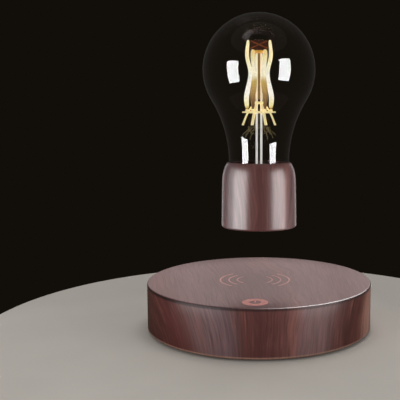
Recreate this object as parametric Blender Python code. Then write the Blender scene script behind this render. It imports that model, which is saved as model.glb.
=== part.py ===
"""Levitating lamp: a round wood-look base that holds a small light bulb in the air above it.

The base hides a ring magnet and four electromagnets. The bulb's cap holds a disc magnet, which they
keep in place, and a receiver coil, which takes the power for the filament from a transmitter coil in the
base. Units are metres and +Z is up. The origin is under the middle of the base, where its feet stand.
The key is at the front, -Y, and the power inlet is at the back, +Y.
"""

import math

import bmesh
import bpy
from mathutils import Matrix, Vector

MM = 0.001
FULL_TURN = 2 * math.pi
WELD = 0.00001 * MM

# How many sides a round piece has, by its size
LARGE_SIDES = 56
BULB_SIDES = 32
COIL_SIDES = 24
WINDING_SIDES = 16
POST_SIDES = 12
WIRE_SIDES = 8
SHARP_DEGREES = 35

# Gaps
SEAT_GAP = 0.3 * MM
CUT_OVERRUN = 1.0 * MM

# Base housing
BASE_RADIUS = 61.0 * MM
SHELL_HEIGHT = 24.8 * MM
SHELL_WALL = 2.2 * MM
LID_THICKNESS = 2.0 * MM
TOP_BEVEL = 0.9 * MM
FOOT_CHAMFER = 0.6 * MM
FOOT_PROUD = 1.0 * MM
COVER_RECESS = 0.4 * MM
COVER_THICKNESS = 2.4 * MM

# Feet and screws
CORNER_COUNT = 4
FOOT_RADIUS = 6.0 * MM
FOOT_RECESS = 1.0 * MM
FOOT_INSET = 8.6 * MM
FOOT_EDGE = 0.4 * MM
BOSS_RADIUS = 3.4 * MM
COVER_RIM = 1.2 * MM
SCREW_HEAD_RADIUS = 2.4 * MM
SCREW_HEAD_HEIGHT = 1.2 * MM
SCREW_HEAD_SINK = 0.1 * MM
SCREW_SHANK_RADIUS = 1.1 * MM
SCREW_LENGTH = 9.0 * MM

# Circuit board, its posts and its parts
POST_RADIUS = 2.6 * MM
POST_HEIGHT = 2.0 * MM
PIN_RADIUS = 1.4 * MM
BOARD_THICKNESS = 1.6 * MM
BOARD_CLEARANCE = 1.0 * MM
PARTS_CLEARANCE = 1.2 * MM
CONTROL_CHIP = (9.0 * MM, 9.0 * MM, 1.4 * MM)
CONTROL_CHIP_DEGREES = 180
DRIVER_CHIP = (6.0 * MM, 9.8 * MM, 1.8 * MM)
DRIVER_CHIP_DEGREES = (208, 152)
INDUCTOR = (9.0 * MM, 9.0 * MM, 5.0 * MM)
INDUCTOR_DEGREES = 60
CAPACITOR_RADIUS = 4.0 * MM
CAPACITOR_SHARE = 0.63
CAPACITOR_DEGREES = 25

# Power inlet
JACK_WIDTH = 9.0 * MM
JACK_LENGTH = 14.0 * MM
JACK_HEIGHT = 11.0 * MM
JACK_BORE_RADIUS = 3.2 * MM
JACK_BORE_DEPTH = 9.5 * MM
JACK_PIN_RADIUS = 1.05 * MM
JACK_PIN_SETBACK = 1.5 * MM
PLUG_WINDOW_RADIUS = 5.4 * MM

# Coil frame and what it carries
FRAME_FLOOR = 1.4 * MM
FRAME_WALL = 1.2 * MM
RING_OUTER_SHARE = 0.623
RING_INNER_SHARE = 0.451
RING_WALL_SHARE = 0.6
BOBBIN_BORE_SHARE = 0.3
BOBBIN_WALL = 1.2 * MM
BOBBIN_FLANGE = 1.0 * MM
BOBBIN_SPACE = 0.5 * MM
SENSOR_ROOM = 8.9 * MM
PEG_HEIGHT = 3.0 * MM
LID_CLEARANCE = 0.5 * MM
FERRITE_THICKNESS = 0.8 * MM
TRANSMITTER_THICKNESS = 2.0 * MM
SENSOR_POST_RADIUS = 3.0 * MM
SENSOR_POST_SHARE = 0.5
SENSOR_BOARD = (9.5 * MM, 9.5 * MM, 1.0 * MM)
SENSOR = (3.0 * MM, 4.0 * MM, 1.5 * MM)
SENSOR_OFFSET = 2.8 * MM

# Touch spring under the key
TOUCH_SPRING_RADIUS = 3.0 * MM
TOUCH_WIRE_RADIUS = 0.3 * MM
TOUCH_SPRING_TURNS = 6
TOUCH_TURN_POINTS = 8

# Levitation
LEVITATION_GAP = 29.4 * MM

# Bulb cap
CAP_HEIGHT = 35.0 * MM
CAP_RADIUS = 20.5 * MM
CAP_DRAFT = 0.5 * MM
CAP_TOP_INSET = 2.6 * MM
CAP_LIP = 1.2 * MM
CAP_SHOULDER_HEIGHT = 8.4 * MM
CAP_WALL = 1.6 * MM
INNER_SHOULDER_DEGREES = 75
CAP_RIM = 1.0 * MM
CAP_COVER_THICKNESS = 1.6 * MM
CAP_COVER_RECESS = 0.2 * MM

# Magnet, receiver coil and their holder
MAGNET_THICKNESS = 6.0 * MM
MAGNET_EDGE = 0.5 * MM
HOLDER_WALL = 1.2 * MM
HOLDER_POST_RADIUS = 1.5 * MM
HOLDER_POST_HEIGHT = 3.0 * MM
HOLDER_POST_INSET = 5.1 * MM
RECEIVER_COIL_WIDTH = 2.8 * MM
RECEIVER_FERRITE_THICKNESS = 0.8 * MM

# Receiver board and its parts
RECEIVER_BOARD_THICKNESS = 1.2 * MM
RECTIFIER = (5.0 * MM, 4.4 * MM, 1.5 * MM)
LED_DRIVER = (5.0 * MM, 6.0 * MM, 1.5 * MM)
CHIP_PLACE_SHARE = 0.44
RECEIVER_CAPACITOR_RADIUS = 3.1 * MM
RECEIVER_CAPACITOR_SHARE = 0.61

# Glass
GLASS_RADIUS = 30.0 * MM
GLASS_CENTRE = 84.0 * MM
GLASS_WALL = 0.9 * MM
NECK_INSERT = 8.0 * MM
GLASS_DOME_STEPS = 10
GLASS_NECK_STEPS = 5
COLLAR_LEDGE = 1.0 * MM
COLLAR_THICKNESS = 2.0 * MM
STEM_DISC_THICKNESS = 1.6 * MM

# Rods and filament
ROD_RADIUS = 0.6 * MM
ROD_SPACING = 2.5 * MM
STRAND_COUNT = 6
STRAND_WIDTH = 2.4 * MM
STRAND_DEPTH = 2.0 * MM
STRAND_RISE_SHARE = 0.527
STRAND_DROP_SHARE = 0.67
STRAND_END_RADIUS = 6.5 * MM
LOWER_BULGE_RADIUS = 7.3 * MM
WAIST_RADIUS = 5.0 * MM
UPPER_BULGE_RADIUS = 6.6 * MM
STRAND_TOP_RADIUS = 6.1 * MM
LOWER_BULGE_SHARE = 0.13
WAIST_SHARE = 0.5
UPPER_BULGE_SHARE = 0.8
STRAND_STEPS = 10
TOP_HUB_RADIUS = 2.6 * MM
TOP_HUB_THICKNESS = 1.1 * MM
ARM_WIDTH = 1.2 * MM
BRACE_RADIUS = 0.35 * MM
BRACE_DROP = 3.9 * MM
BRACE_CLEARANCE = 0.9 * MM

# Spider that carries the filament's lower ends
SPIDER_RIBS = 8
SPIDER_HUB_WALL = 0.9 * MM
SPIDER_HUB_HEIGHT = 1.2 * MM
SPIDER_HUB_RISE = 5.0 * MM
SPIDER_WIRE_RADIUS = 0.5 * MM
SPIDER_RING_DROP = 1.9 * MM
RIB_WIDTH = 1.2 * MM
RIB_THICKNESS = 0.7 * MM
RIB_TIP_RADIUS = 9.7 * MM
RIB_TIP_DROP = 7.2 * MM
STUB_RADIUS = 0.8 * MM
TAB_REACH = 2.6 * MM

# Heights in the base, from the floor up
shell_bottom = FOOT_PROUD
shell_top = shell_bottom + SHELL_HEIGHT
ceiling = shell_top - LID_THICKNESS
shell_inner_radius = BASE_RADIUS - SHELL_WALL
cover_bottom = shell_bottom + COVER_RECESS
cover_top = cover_bottom + COVER_THICKNESS
board_bottom = cover_top + POST_HEIGHT + SEAT_GAP
board_top = board_bottom + BOARD_THICKNESS
on_board = board_top + SEAT_GAP
frame_floor_top = on_board + FRAME_FLOOR
on_frame = frame_floor_top + SEAT_GAP
bobbin_height = ceiling - LID_CLEARANCE - on_frame
transmitter_bottom = ceiling - LID_CLEARANCE - TRANSMITTER_THICKNESS
ferrite_bottom = transmitter_bottom - SEAT_GAP - FERRITE_THICKNESS
ring_magnet_height = ferrite_bottom - SEAT_GAP - on_frame
capacitor_height = (ceiling - on_board) * CAPACITOR_SHARE

# Radii in the base
corner_turn = FULL_TURN / CORNER_COUNT / 2
boss_circle = shell_inner_radius - 2 * SEAT_GAP - COVER_RIM - SCREW_HEAD_RADIUS
board_radius = boss_circle - BOSS_RADIUS - BOARD_CLEARANCE
foot_circle = boss_circle - FOOT_INSET
ring_inner_radius = BASE_RADIUS * RING_INNER_SHARE
ring_outer_radius = BASE_RADIUS * RING_OUTER_SHARE
pin_circle = (ring_inner_radius + ring_outer_radius) / 2
frame_inner_wall = ring_inner_radius - SEAT_GAP - FRAME_WALL
frame_outer_wall = ring_outer_radius + SEAT_GAP
frame_radius = frame_outer_wall + FRAME_WALL
parts_circle = frame_radius + PARTS_CLEARANCE + INDUCTOR[0] / 2
touch_spring_place = board_radius - SEAT_GAP - TOUCH_WIRE_RADIUS - TOUCH_SPRING_RADIUS
flange_radius = (frame_inner_wall - BOBBIN_SPACE - SENSOR_ROOM) / 2
coil_circle = frame_inner_wall - BOBBIN_SPACE - flange_radius
bobbin_bore_radius = flange_radius * BOBBIN_BORE_SHARE
bobbin_core_radius = bobbin_bore_radius + BOBBIN_WALL

# Heights in the bulb, from the bottom of its cap up
cap_bottom = shell_top + LEVITATION_GAP
cap_shoulder = CAP_HEIGHT - CAP_SHOULDER_HEIGHT
on_cap_cover = CAP_COVER_RECESS + CAP_COVER_THICKNESS + SEAT_GAP
holder_web = on_cap_cover + MAGNET_THICKNESS + SEAT_GAP
holder_top = holder_web + HOLDER_WALL
receiver_board_bottom = holder_top + HOLDER_POST_HEIGHT + SEAT_GAP
receiver_board_top = receiver_board_bottom + RECEIVER_BOARD_THICKNESS
on_receiver_board = receiver_board_top + SEAT_GAP
neck_bottom = CAP_HEIGHT - NECK_INSERT
collar_top = neck_bottom - SEAT_GAP
receiver_capacitor_height = (neck_bottom - on_receiver_board) * RECEIVER_CAPACITOR_SHARE
strand_bottom = GLASS_CENTRE - GLASS_RADIUS * STRAND_DROP_SHARE
tall_strand_top = GLASS_CENTRE + GLASS_RADIUS * STRAND_RISE_SHARE
brace_high = tall_strand_top - BRACE_RADIUS
brace_low = brace_high - BRACE_DROP
hub_top = brace_low - BRACE_RADIUS - BRACE_CLEARANCE
hub_bottom = hub_top - TOP_HUB_THICKNESS
rod_top = hub_bottom - SEAT_GAP
spider_ring = strand_bottom - SPIDER_RING_DROP

# Radii in the bulb
cap_shoulder_radius = CAP_RADIUS - CAP_DRAFT
cap_top_radius = cap_shoulder_radius - CAP_TOP_INSET
cap_inner_radius = cap_shoulder_radius - CAP_WALL
cap_mouth_radius = CAP_RADIUS - CAP_WALL
inner_fit_radius = cap_inner_radius - SEAT_GAP
receiver_coil_inner = inner_fit_radius - RECEIVER_COIL_WIDTH
holder_outer_radius = receiver_coil_inner - SEAT_GAP
holder_inner_radius = holder_outer_radius - HOLDER_WALL
magnet_radius = holder_inner_radius - SEAT_GAP
chip_place = inner_fit_radius * CHIP_PLACE_SHARE
neck_radius = cap_top_radius - CAP_LIP
neck_inner_radius = neck_radius - GLASS_WALL
rod_hole_radius = ROD_RADIUS + SEAT_GAP
rod_places = [(-ROD_SPACING / 2, 0), (ROD_SPACING / 2, 0)]
spider_hub_radius = ROD_SPACING / 2 + rod_hole_radius


def finish(name, color, roughness, metallic=0.0, transmission=0.0, glow=0.0):
    """A Principled material with one colour."""
    material = bpy.data.materials.new(name)
    material.use_nodes = True
    shader = material.node_tree.nodes["Principled BSDF"]
    shader.inputs["Base Color"].default_value = (*color, 1.0)
    shader.inputs["Roughness"].default_value = roughness
    shader.inputs["Metallic"].default_value = metallic
    shader.inputs["Transmission Weight"].default_value = transmission
    shader.inputs["Emission Color"].default_value = (*color, 1.0)
    shader.inputs["Emission Strength"].default_value = glow
    material.diffuse_color = (*color, 1.0)
    return material


def clear_scene():
    for old in list(bpy.data.objects):
        bpy.data.objects.remove(old)


def mesh_of(name, shape):
    """Turns a finished bmesh into a mesh that is smooth except at its sharp edges."""
    bmesh.ops.recalc_face_normals(shape, faces=shape.faces)
    mesh = bpy.data.meshes.new(name)
    shape.to_mesh(mesh)
    shape.free()
    mesh.shade_smooth()
    mesh.set_sharp_from_angle(angle=math.radians(SHARP_DEGREES))
    return mesh


def turned(name, outline, sides, places=((0, 0),)):
    """A mesh turned about Z from (radius, height) points, with one copy at each (x, y) place."""
    shape = bmesh.new()
    for x, y in places:
        points = [shape.verts.new((radius, 0, height)) for radius, height in outline]
        edges = []
        for first, second in zip(points, points[1:] + points[:1]):
            if first.co.x > 0 or second.co.x > 0:
                edges.append(shape.edges.new((first, second)))
        bmesh.ops.spin(
            shape,
            geom=points + edges,
            cent=(0, 0, 0),
            axis=(0, 0, 1),
            angle=FULL_TURN,
            steps=sides,
            use_merge=True,
        )
        fresh = [vert for vert in shape.verts if not vert.tag]
        bmesh.ops.translate(shape, vec=(x, y, 0), verts=fresh)
        for vert in fresh:
            vert.tag = True
    bmesh.ops.remove_doubles(shape, verts=shape.verts, dist=WELD)
    return mesh_of(name, shape)


def blocks(name, size, centres, turns=None):
    """A mesh of equal boxes, one at each centre, each turned about Z by its own angle."""
    shape = bmesh.new()
    turns = turns or [0] * len(centres)
    for centre, turn in zip(centres, turns):
        place = Matrix.Translation(centre) @ Matrix.Rotation(turn, 4, "Z")
        bmesh.ops.create_cube(shape, size=1.0, matrix=place @ Matrix.Diagonal((*size, 1.0)))
    return mesh_of(name, shape)


def swept(name, stations, corners):
    """A mesh that joins the same closed section at each station, with both ends closed."""
    shape = bmesh.new()
    rings = []
    for place in stations:
        rings.append([shape.verts.new(place @ corner) for corner in corners])
    for lower, upper in zip(rings, rings[1:]):
        for i in range(len(corners)):
            j = (i + 1) % len(corners)
            shape.faces.new((lower[i], lower[j], upper[j], upper[i]))
    shape.faces.new(rings[0])
    shape.faces.new(rings[-1])
    return mesh_of(name, shape)


def add(name, mesh, material, parent, location=(0, 0, 0), turn=0.0):
    """Puts a mesh into the scene as one named piece."""
    piece = bpy.data.objects.new(name, mesh)
    bpy.context.scene.collection.objects.link(piece)
    if not mesh.materials:
        mesh.materials.append(material)
    piece.parent = parent
    piece.location = location
    piece.rotation_euler = (0, 0, turn)
    return piece


def shape_with(piece, operation, tool_mesh):
    """Cuts a hidden tool out of a piece, or joins it on."""
    tool = bpy.data.objects.new(tool_mesh.name, tool_mesh)
    bpy.context.scene.collection.objects.link(tool)
    tool.parent = piece.parent
    tool.location = piece.location
    tool.hide_render = True
    tool.display_type = "WIRE"
    modifier = piece.modifiers.new(tool_mesh.name, "BOOLEAN")
    modifier.operation = operation
    modifier.object = tool
    modifier.solver = "EXACT"


def cut(piece, tool_mesh):
    shape_with(piece, "DIFFERENCE", tool_mesh)


def join(piece, tool_mesh):
    shape_with(piece, "UNION", tool_mesh)


def around(radius, count, start=0.0):
    """Evenly spaced (x, y) places on a circle."""
    angles = [start + FULL_TURN * i / count for i in range(count)]
    return [(radius * math.cos(angle), radius * math.sin(angle)) for angle in angles]


def tube_outline(inner, outer, bottom, top):
    return [(outer, top), (outer, bottom), (inner, bottom), (inner, top)]


def disc_outline(radius, bottom, top):
    return [(0, top), (radius, top), (radius, bottom), (0, bottom)]


def arc(centre_radius, centre_height, width, height, start, end, steps):
    """Points on part of an ellipse, with both ends."""
    points = []
    for i in range(steps + 1):
        angle = math.radians(start + (end - start) * i / steps)
        radius = centre_radius + width * math.cos(angle)
        points.append((radius, centre_height + height * math.sin(angle)))
    return points


def base_housing(base):
    """The shell with its screw bosses and plug window, the bottom cover, the feet and the screws."""
    outline = [(0, shell_top)]
    outline += arc(BASE_RADIUS - TOP_BEVEL, shell_top - TOP_BEVEL, TOP_BEVEL, TOP_BEVEL, 90, 0, 3)
    outline += [
        (BASE_RADIUS, shell_bottom + FOOT_CHAMFER),
        (BASE_RADIUS - FOOT_CHAMFER, shell_bottom),
        (shell_inner_radius, shell_bottom),
        (shell_inner_radius, ceiling),
        (0, ceiling),
    ]
    shell = add("base_shell", turned("base_shell", outline, LARGE_SIDES), wood_film, base)

    boss_places = around(boss_circle, CORNER_COUNT, corner_turn)
    boss_bottom = cover_top + SEAT_GAP
    boss = disc_outline(BOSS_RADIUS, boss_bottom, ceiling + LID_THICKNESS / 2)
    join(shell, turned("screw_bosses", boss, POST_SIDES, boss_places))
    shank_space = SCREW_SHANK_RADIUS + SEAT_GAP
    head_top = cover_bottom + SCREW_HEAD_SINK + SCREW_HEAD_HEIGHT
    shank_top = head_top + SCREW_LENGTH
    bore_top = shank_top + SEAT_GAP
    bore = disc_outline(shank_space, boss_bottom - CUT_OVERRUN, bore_top)
    cut(shell, turned("boss_bores", bore, POST_SIDES, boss_places))
    window = disc_outline(PLUG_WINDOW_RADIUS, -CUT_OVERRUN, SHELL_WALL + 2 * CUT_OVERRUN)
    window = turned("plug_window", window, WINDING_SIDES)
    cut(shell, facing_back(window, shell_inner_radius - CUT_OVERRUN))

    cover_radius = shell_inner_radius - SEAT_GAP
    cover = disc_outline(cover_radius, cover_bottom, cover_top)
    cover = add("bottom_cover", turned("bottom_cover", cover, LARGE_SIDES), black_plastic, base)
    post_bottom = cover_top - COVER_THICKNESS / 2
    pin_top = frame_floor_top - SEAT_GAP
    post_top = cover_top + POST_HEIGHT
    post = [
        (0, pin_top),
        (PIN_RADIUS, pin_top),
        (PIN_RADIUS, post_top),
        (POST_RADIUS, post_top),
        (POST_RADIUS, post_bottom),
        (0, post_bottom),
    ]
    post_places = around(pin_circle, CORNER_COUNT, corner_turn)
    join(cover, turned("board_posts", post, POST_SIDES, post_places))

    foot_places = around(foot_circle, CORNER_COUNT)
    under_cover = cover_bottom - CUT_OVERRUN
    recess = disc_outline(FOOT_RADIUS + SEAT_GAP, under_cover, cover_bottom + FOOT_RECESS)
    cut(cover, turned("foot_recesses", recess, WINDING_SIDES, foot_places))
    head_space = SCREW_HEAD_RADIUS + SEAT_GAP
    screw_hole = [
        (0, cover_top + CUT_OVERRUN),
        (shank_space, cover_top + CUT_OVERRUN),
        (shank_space, head_top + SEAT_GAP),
        (head_space, head_top + SEAT_GAP),
        (head_space, under_cover),
        (0, under_cover),
    ]
    cut(cover, turned("screw_holes", screw_hole, POST_SIDES, boss_places))

    foot_top = cover_bottom + FOOT_RECESS - SEAT_GAP
    foot_outline = [
        (0, foot_top),
        (FOOT_RADIUS, foot_top),
        (FOOT_RADIUS, FOOT_EDGE),
        (FOOT_RADIUS - FOOT_EDGE, 0),
        (0, 0),
    ]
    foot_mesh = turned("rubber_foot", foot_outline, WINDING_SIDES)
    for number, (x, y) in enumerate(foot_places, 1):
        add(f"rubber_foot_{number}", foot_mesh, rubber, base, (x, y, 0))

    screw_outline = [
        (0, shank_top),
        (SCREW_SHANK_RADIUS, shank_top),
        (SCREW_SHANK_RADIUS, head_top),
        (SCREW_HEAD_RADIUS, head_top),
        (SCREW_HEAD_RADIUS, head_top - SCREW_HEAD_HEIGHT),
        (0, head_top - SCREW_HEAD_HEIGHT),
    ]
    screw_mesh = turned("bottom_screw", screw_outline, POST_SIDES)
    for number, (x, y) in enumerate(boss_places, 1):
        add(f"bottom_screw_{number}", screw_mesh, zinc_steel, base, (x, y, 0))


def facing_back(mesh, front):
    """Lays a mesh that was turned about Z down along +Y, at the height of the power inlet."""
    height = on_board + JACK_HEIGHT / 2
    mesh.transform(Matrix.Translation((0, front, height)) @ Matrix.Rotation(-math.pi / 2, 4, "X"))
    return mesh


def power_inlet(base):
    """The jack on the board's back edge, with its bore facing the plug window, and its centre pin."""
    jack_face = math.sqrt(shell_inner_radius**2 - (JACK_WIDTH / 2) ** 2) - SEAT_GAP
    centre = (0, jack_face - JACK_LENGTH / 2, on_board + JACK_HEIGHT / 2)
    body = blocks("power_jack", (JACK_WIDTH, JACK_LENGTH, JACK_HEIGHT), [centre])
    jack = add("power_jack", body, black_plastic, base)
    bore = disc_outline(JACK_BORE_RADIUS, 0, JACK_BORE_DEPTH + CUT_OVERRUN)
    bore_floor = jack_face - JACK_BORE_DEPTH
    cut(jack, facing_back(turned("jack_bore", bore, WINDING_SIDES), bore_floor))
    pin_length = JACK_BORE_DEPTH - SEAT_GAP - JACK_PIN_SETBACK
    pin = turned("jack_pin", disc_outline(JACK_PIN_RADIUS, 0, pin_length), POST_SIDES)
    add("power_jack_pin", facing_back(pin, bore_floor + SEAT_GAP), zinc_steel, base)


def main_board(base):
    """The circuit board with its chips, inductor and capacitor on the rim round the coil frame."""
    board = turned("main_board", disc_outline(board_radius, board_bottom, board_top), LARGE_SIDES)
    board = add("main_board", board, circuit_board, base)
    hole = disc_outline(PIN_RADIUS + SEAT_GAP, board_bottom - CUT_OVERRUN, board_top + CUT_OVERRUN)
    hole_places = around(pin_circle, CORNER_COUNT, corner_turn)
    cut(board, turned("board_holes", hole, POST_SIDES, hole_places))

    chips = [
        ("control_chip", CONTROL_CHIP, CONTROL_CHIP_DEGREES, chip_plastic),
        ("coil_driver_chip_1", DRIVER_CHIP, DRIVER_CHIP_DEGREES[0], chip_plastic),
        ("coil_driver_chip_2", DRIVER_CHIP, DRIVER_CHIP_DEGREES[1], chip_plastic),
        ("power_inductor", INDUCTOR, INDUCTOR_DEGREES, ferrite),
    ]
    for name, size, degrees, material in chips:
        chip = blocks(name, size, [(0, 0, size[2] / 2)])
        add(name, chip, material, base, board_place(degrees), math.radians(degrees))
    can = disc_outline(CAPACITOR_RADIUS, 0, capacitor_height)
    can = turned("supply_capacitor", can, WINDING_SIDES)
    add("supply_capacitor", can, aluminium, base, board_place(CAPACITOR_DEGREES))


def board_place(degrees):
    """A place on the board's rim, at an angle from the right."""
    angle = math.radians(degrees)
    return (parts_circle * math.cos(angle), parts_circle * math.sin(angle), on_board)


def touch_spring(base):
    """The wire spring that carries the key's touch from the lid down to the board."""
    low = on_board + TOUCH_WIRE_RADIUS
    high = ceiling - SEAT_GAP - TOUCH_WIRE_RADIUS
    count = TOUCH_SPRING_TURNS * TOUCH_TURN_POINTS
    curve = bpy.data.curves.new("touch_spring", "CURVE")
    curve.dimensions = "3D"
    curve.bevel_depth = TOUCH_WIRE_RADIUS
    curve.bevel_resolution = 1
    curve.use_fill_caps = True
    spline = curve.splines.new("POLY")
    spline.points.add(count)
    for i, point in enumerate(spline.points):
        angle = FULL_TURN * i / TOUCH_TURN_POINTS
        across = TOUCH_SPRING_RADIUS * math.cos(angle)
        along = TOUCH_SPRING_RADIUS * math.sin(angle)
        point.co = (across, along, low + (high - low) * i / count, 1.0)
    curve.materials.append(zinc_steel)
    spring = bpy.data.objects.new("touch_spring", curve)
    bpy.context.scene.collection.objects.link(spring)
    spring.parent = base
    spring.location = (0, -touch_spring_place, 0)


def coil_frame(base):
    """The plastic frame that centres the ring magnet, the four electromagnets and the sensor board."""
    sensor_post_top = on_frame + bobbin_height * SENSOR_POST_SHARE
    wall_top = on_frame + ring_magnet_height * RING_WALL_SHARE
    outline = [
        (0, sensor_post_top),
        (SENSOR_POST_RADIUS, sensor_post_top),
        (SENSOR_POST_RADIUS, frame_floor_top),
        (frame_inner_wall, frame_floor_top),
        (frame_inner_wall, wall_top),
        (frame_inner_wall + FRAME_WALL, wall_top),
        (frame_inner_wall + FRAME_WALL, frame_floor_top),
        (frame_outer_wall, frame_floor_top),
        (frame_outer_wall, wall_top),
        (frame_outer_wall + FRAME_WALL, wall_top),
        (frame_outer_wall + FRAME_WALL, on_board),
        (0, on_board),
    ]
    frame = add("coil_frame", turned("coil_frame", outline, COIL_SIDES), grey_plastic, base)
    coil_places = around(coil_circle, CORNER_COUNT)
    peg_bottom = on_board + FRAME_FLOOR / 2
    peg = disc_outline(bobbin_bore_radius - SEAT_GAP, peg_bottom, on_frame + PEG_HEIGHT)
    join(frame, turned("coil_pegs", peg, POST_SIDES, coil_places))
    hole_top = frame_floor_top + CUT_OVERRUN
    hole = disc_outline(PIN_RADIUS + SEAT_GAP, on_board - CUT_OVERRUN, hole_top)
    hole_places = around(pin_circle, CORNER_COUNT, corner_turn)
    cut(frame, turned("frame_holes", hole, POST_SIDES, hole_places))

    rings = [
        ("ring_magnet", on_frame, ring_magnet_height, ferrite),
        ("transmitter_ferrite", ferrite_bottom, FERRITE_THICKNESS, ferrite),
        ("transmitter_coil", transmitter_bottom, TRANSMITTER_THICKNESS, copper),
    ]
    for name, bottom, thickness, material in rings:
        ring = tube_outline(ring_inner_radius, ring_outer_radius, bottom, bottom + thickness)
        add(name, turned(name, ring, COIL_SIDES), material, base)

    bobbin_mesh, winding_mesh = electromagnet_meshes()
    for number, (x, y) in enumerate(coil_places, 1):
        add(f"electromagnet_bobbin_{number}", bobbin_mesh, grey_plastic, base, (x, y, on_frame))
        add(f"electromagnet_winding_{number}", winding_mesh, copper, base, (x, y, on_frame))

    board_centre = (0, 0, sensor_post_top + SEAT_GAP + SENSOR_BOARD[2] / 2)
    board = blocks("sensor_board", SENSOR_BOARD, [board_centre], [FULL_TURN / 8])
    add("sensor_board", board, circuit_board, base)
    sensor_mesh = blocks("hall_sensor", SENSOR, [(0, 0, SENSOR[2] / 2)])
    sensor_floor = board_centre[2] + SENSOR_BOARD[2] / 2 + SEAT_GAP
    for letter, place in (("x", (SENSOR_OFFSET, 0)), ("y", (-SENSOR_OFFSET, 0))):
        add(f"hall_sensor_{letter}", sensor_mesh, chip_plastic, base, (*place, sensor_floor))


def electromagnet_meshes():
    """One bobbin and one winding, standing on the origin."""
    top = bobbin_height
    bobbin = [
        (flange_radius, top),
        (flange_radius, top - BOBBIN_FLANGE),
        (bobbin_core_radius, top - BOBBIN_FLANGE),
        (bobbin_core_radius, BOBBIN_FLANGE),
        (flange_radius, BOBBIN_FLANGE),
        (flange_radius, 0),
        (bobbin_bore_radius, 0),
        (bobbin_bore_radius, top),
    ]
    low = BOBBIN_FLANGE + SEAT_GAP
    high = top - BOBBIN_FLANGE - SEAT_GAP
    wound_radius = flange_radius - SEAT_GAP
    winding = tube_outline(bobbin_core_radius + SEAT_GAP, wound_radius, low, high)
    return turned("bobbin", bobbin, WINDING_SIDES), turned("winding", winding, WINDING_SIDES)


def cap_outer(height):
    """The cap's outer radius at a height on its drafted side."""
    return CAP_RADIUS - CAP_DRAFT * height / cap_shoulder


def bulb_cap(bulb):
    """The cap's shell and bottom cover."""
    opening = neck_radius + SEAT_GAP
    outline = arc(cap_top_radius, cap_shoulder, CAP_TOP_INSET, CAP_SHOULDER_HEIGHT, 90, 0, 5)
    outline += arc(cap_outer(CAP_RIM) - CAP_RIM, CAP_RIM, CAP_RIM, CAP_RIM, 0, -90, 3)
    outline += [(cap_mouth_radius, 0)]
    inset = cap_inner_radius - opening
    rise = CAP_SHOULDER_HEIGHT - CAP_WALL
    outline += arc(opening, cap_shoulder, inset, rise, 0, INNER_SHOULDER_DEGREES, 3)
    outline += [(opening, CAP_HEIGHT)]
    add("cap_shell", turned("cap_shell", outline, BULB_SIDES), wood_film, bulb)
    cover_top_height = CAP_COVER_RECESS + CAP_COVER_THICKNESS
    cover = disc_outline(cap_mouth_radius - SEAT_GAP, CAP_COVER_RECESS, cover_top_height)
    add("cap_bottom_cover", turned("cap_bottom_cover", cover, BULB_SIDES), black_plastic, bulb)


def magnet_and_receiver(lift, bulb):
    """The disc magnet, its holder, and the receiver coil and board that feed the filament."""
    magnet_top = on_cap_cover + MAGNET_THICKNESS
    magnet = [
        (0, magnet_top),
        (magnet_radius - MAGNET_EDGE, magnet_top),
        (magnet_radius, magnet_top - MAGNET_EDGE),
        (magnet_radius, on_cap_cover + MAGNET_EDGE),
        (magnet_radius - MAGNET_EDGE, on_cap_cover),
        (0, on_cap_cover),
    ]
    add("float_magnet", turned("float_magnet", magnet, COIL_SIDES), nickel, lift)

    holder = [
        (0, holder_top),
        (inner_fit_radius, holder_top),
        (inner_fit_radius, holder_web),
        (holder_outer_radius, holder_web),
        (holder_outer_radius, on_cap_cover),
        (holder_inner_radius, on_cap_cover),
        (holder_inner_radius, holder_web),
        (0, holder_web),
    ]
    holder = add("magnet_holder", turned("magnet_holder", holder, COIL_SIDES), grey_plastic, bulb)
    post_top = holder_top + HOLDER_POST_HEIGHT
    post = disc_outline(HOLDER_POST_RADIUS, holder_top - HOLDER_WALL / 2, post_top)
    post_places = around(inner_fit_radius - HOLDER_POST_INSET, CORNER_COUNT, corner_turn)
    join(holder, turned("holder_posts", post, WIRE_SIDES, post_places))

    sheet_top = holder_web - SEAT_GAP
    sheet_bottom = sheet_top - RECEIVER_FERRITE_THICKNESS
    sheet = tube_outline(receiver_coil_inner, inner_fit_radius, sheet_bottom, sheet_top)
    add("receiver_ferrite", turned("receiver_ferrite", sheet, COIL_SIDES), ferrite, bulb)
    coil_top = sheet_bottom - SEAT_GAP
    coil = tube_outline(receiver_coil_inner, inner_fit_radius, on_cap_cover, coil_top)
    add("receiver_coil", turned("receiver_coil", coil, COIL_SIDES), copper, bulb)

    board = disc_outline(inner_fit_radius, receiver_board_bottom, receiver_board_top)
    add("receiver_board", turned("receiver_board", board, COIL_SIDES), circuit_board, bulb)
    rectifier = blocks("rectifier_chip", RECTIFIER, [(0, 0, RECTIFIER[2] / 2)])
    add("rectifier_chip", rectifier, chip_plastic, bulb, (-chip_place, 0, on_receiver_board))
    driver = blocks("led_driver_chip", LED_DRIVER, [(0, 0, LED_DRIVER[2] / 2)])
    add("led_driver_chip", driver, chip_plastic, bulb, (chip_place, 0, on_receiver_board))
    can = disc_outline(RECEIVER_CAPACITOR_RADIUS, 0, receiver_capacitor_height)
    can = turned("receiver_capacitor", can, POST_SIDES)
    add("receiver_capacitor", can, aluminium, bulb, (0, chip_place, on_receiver_board))


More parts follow.
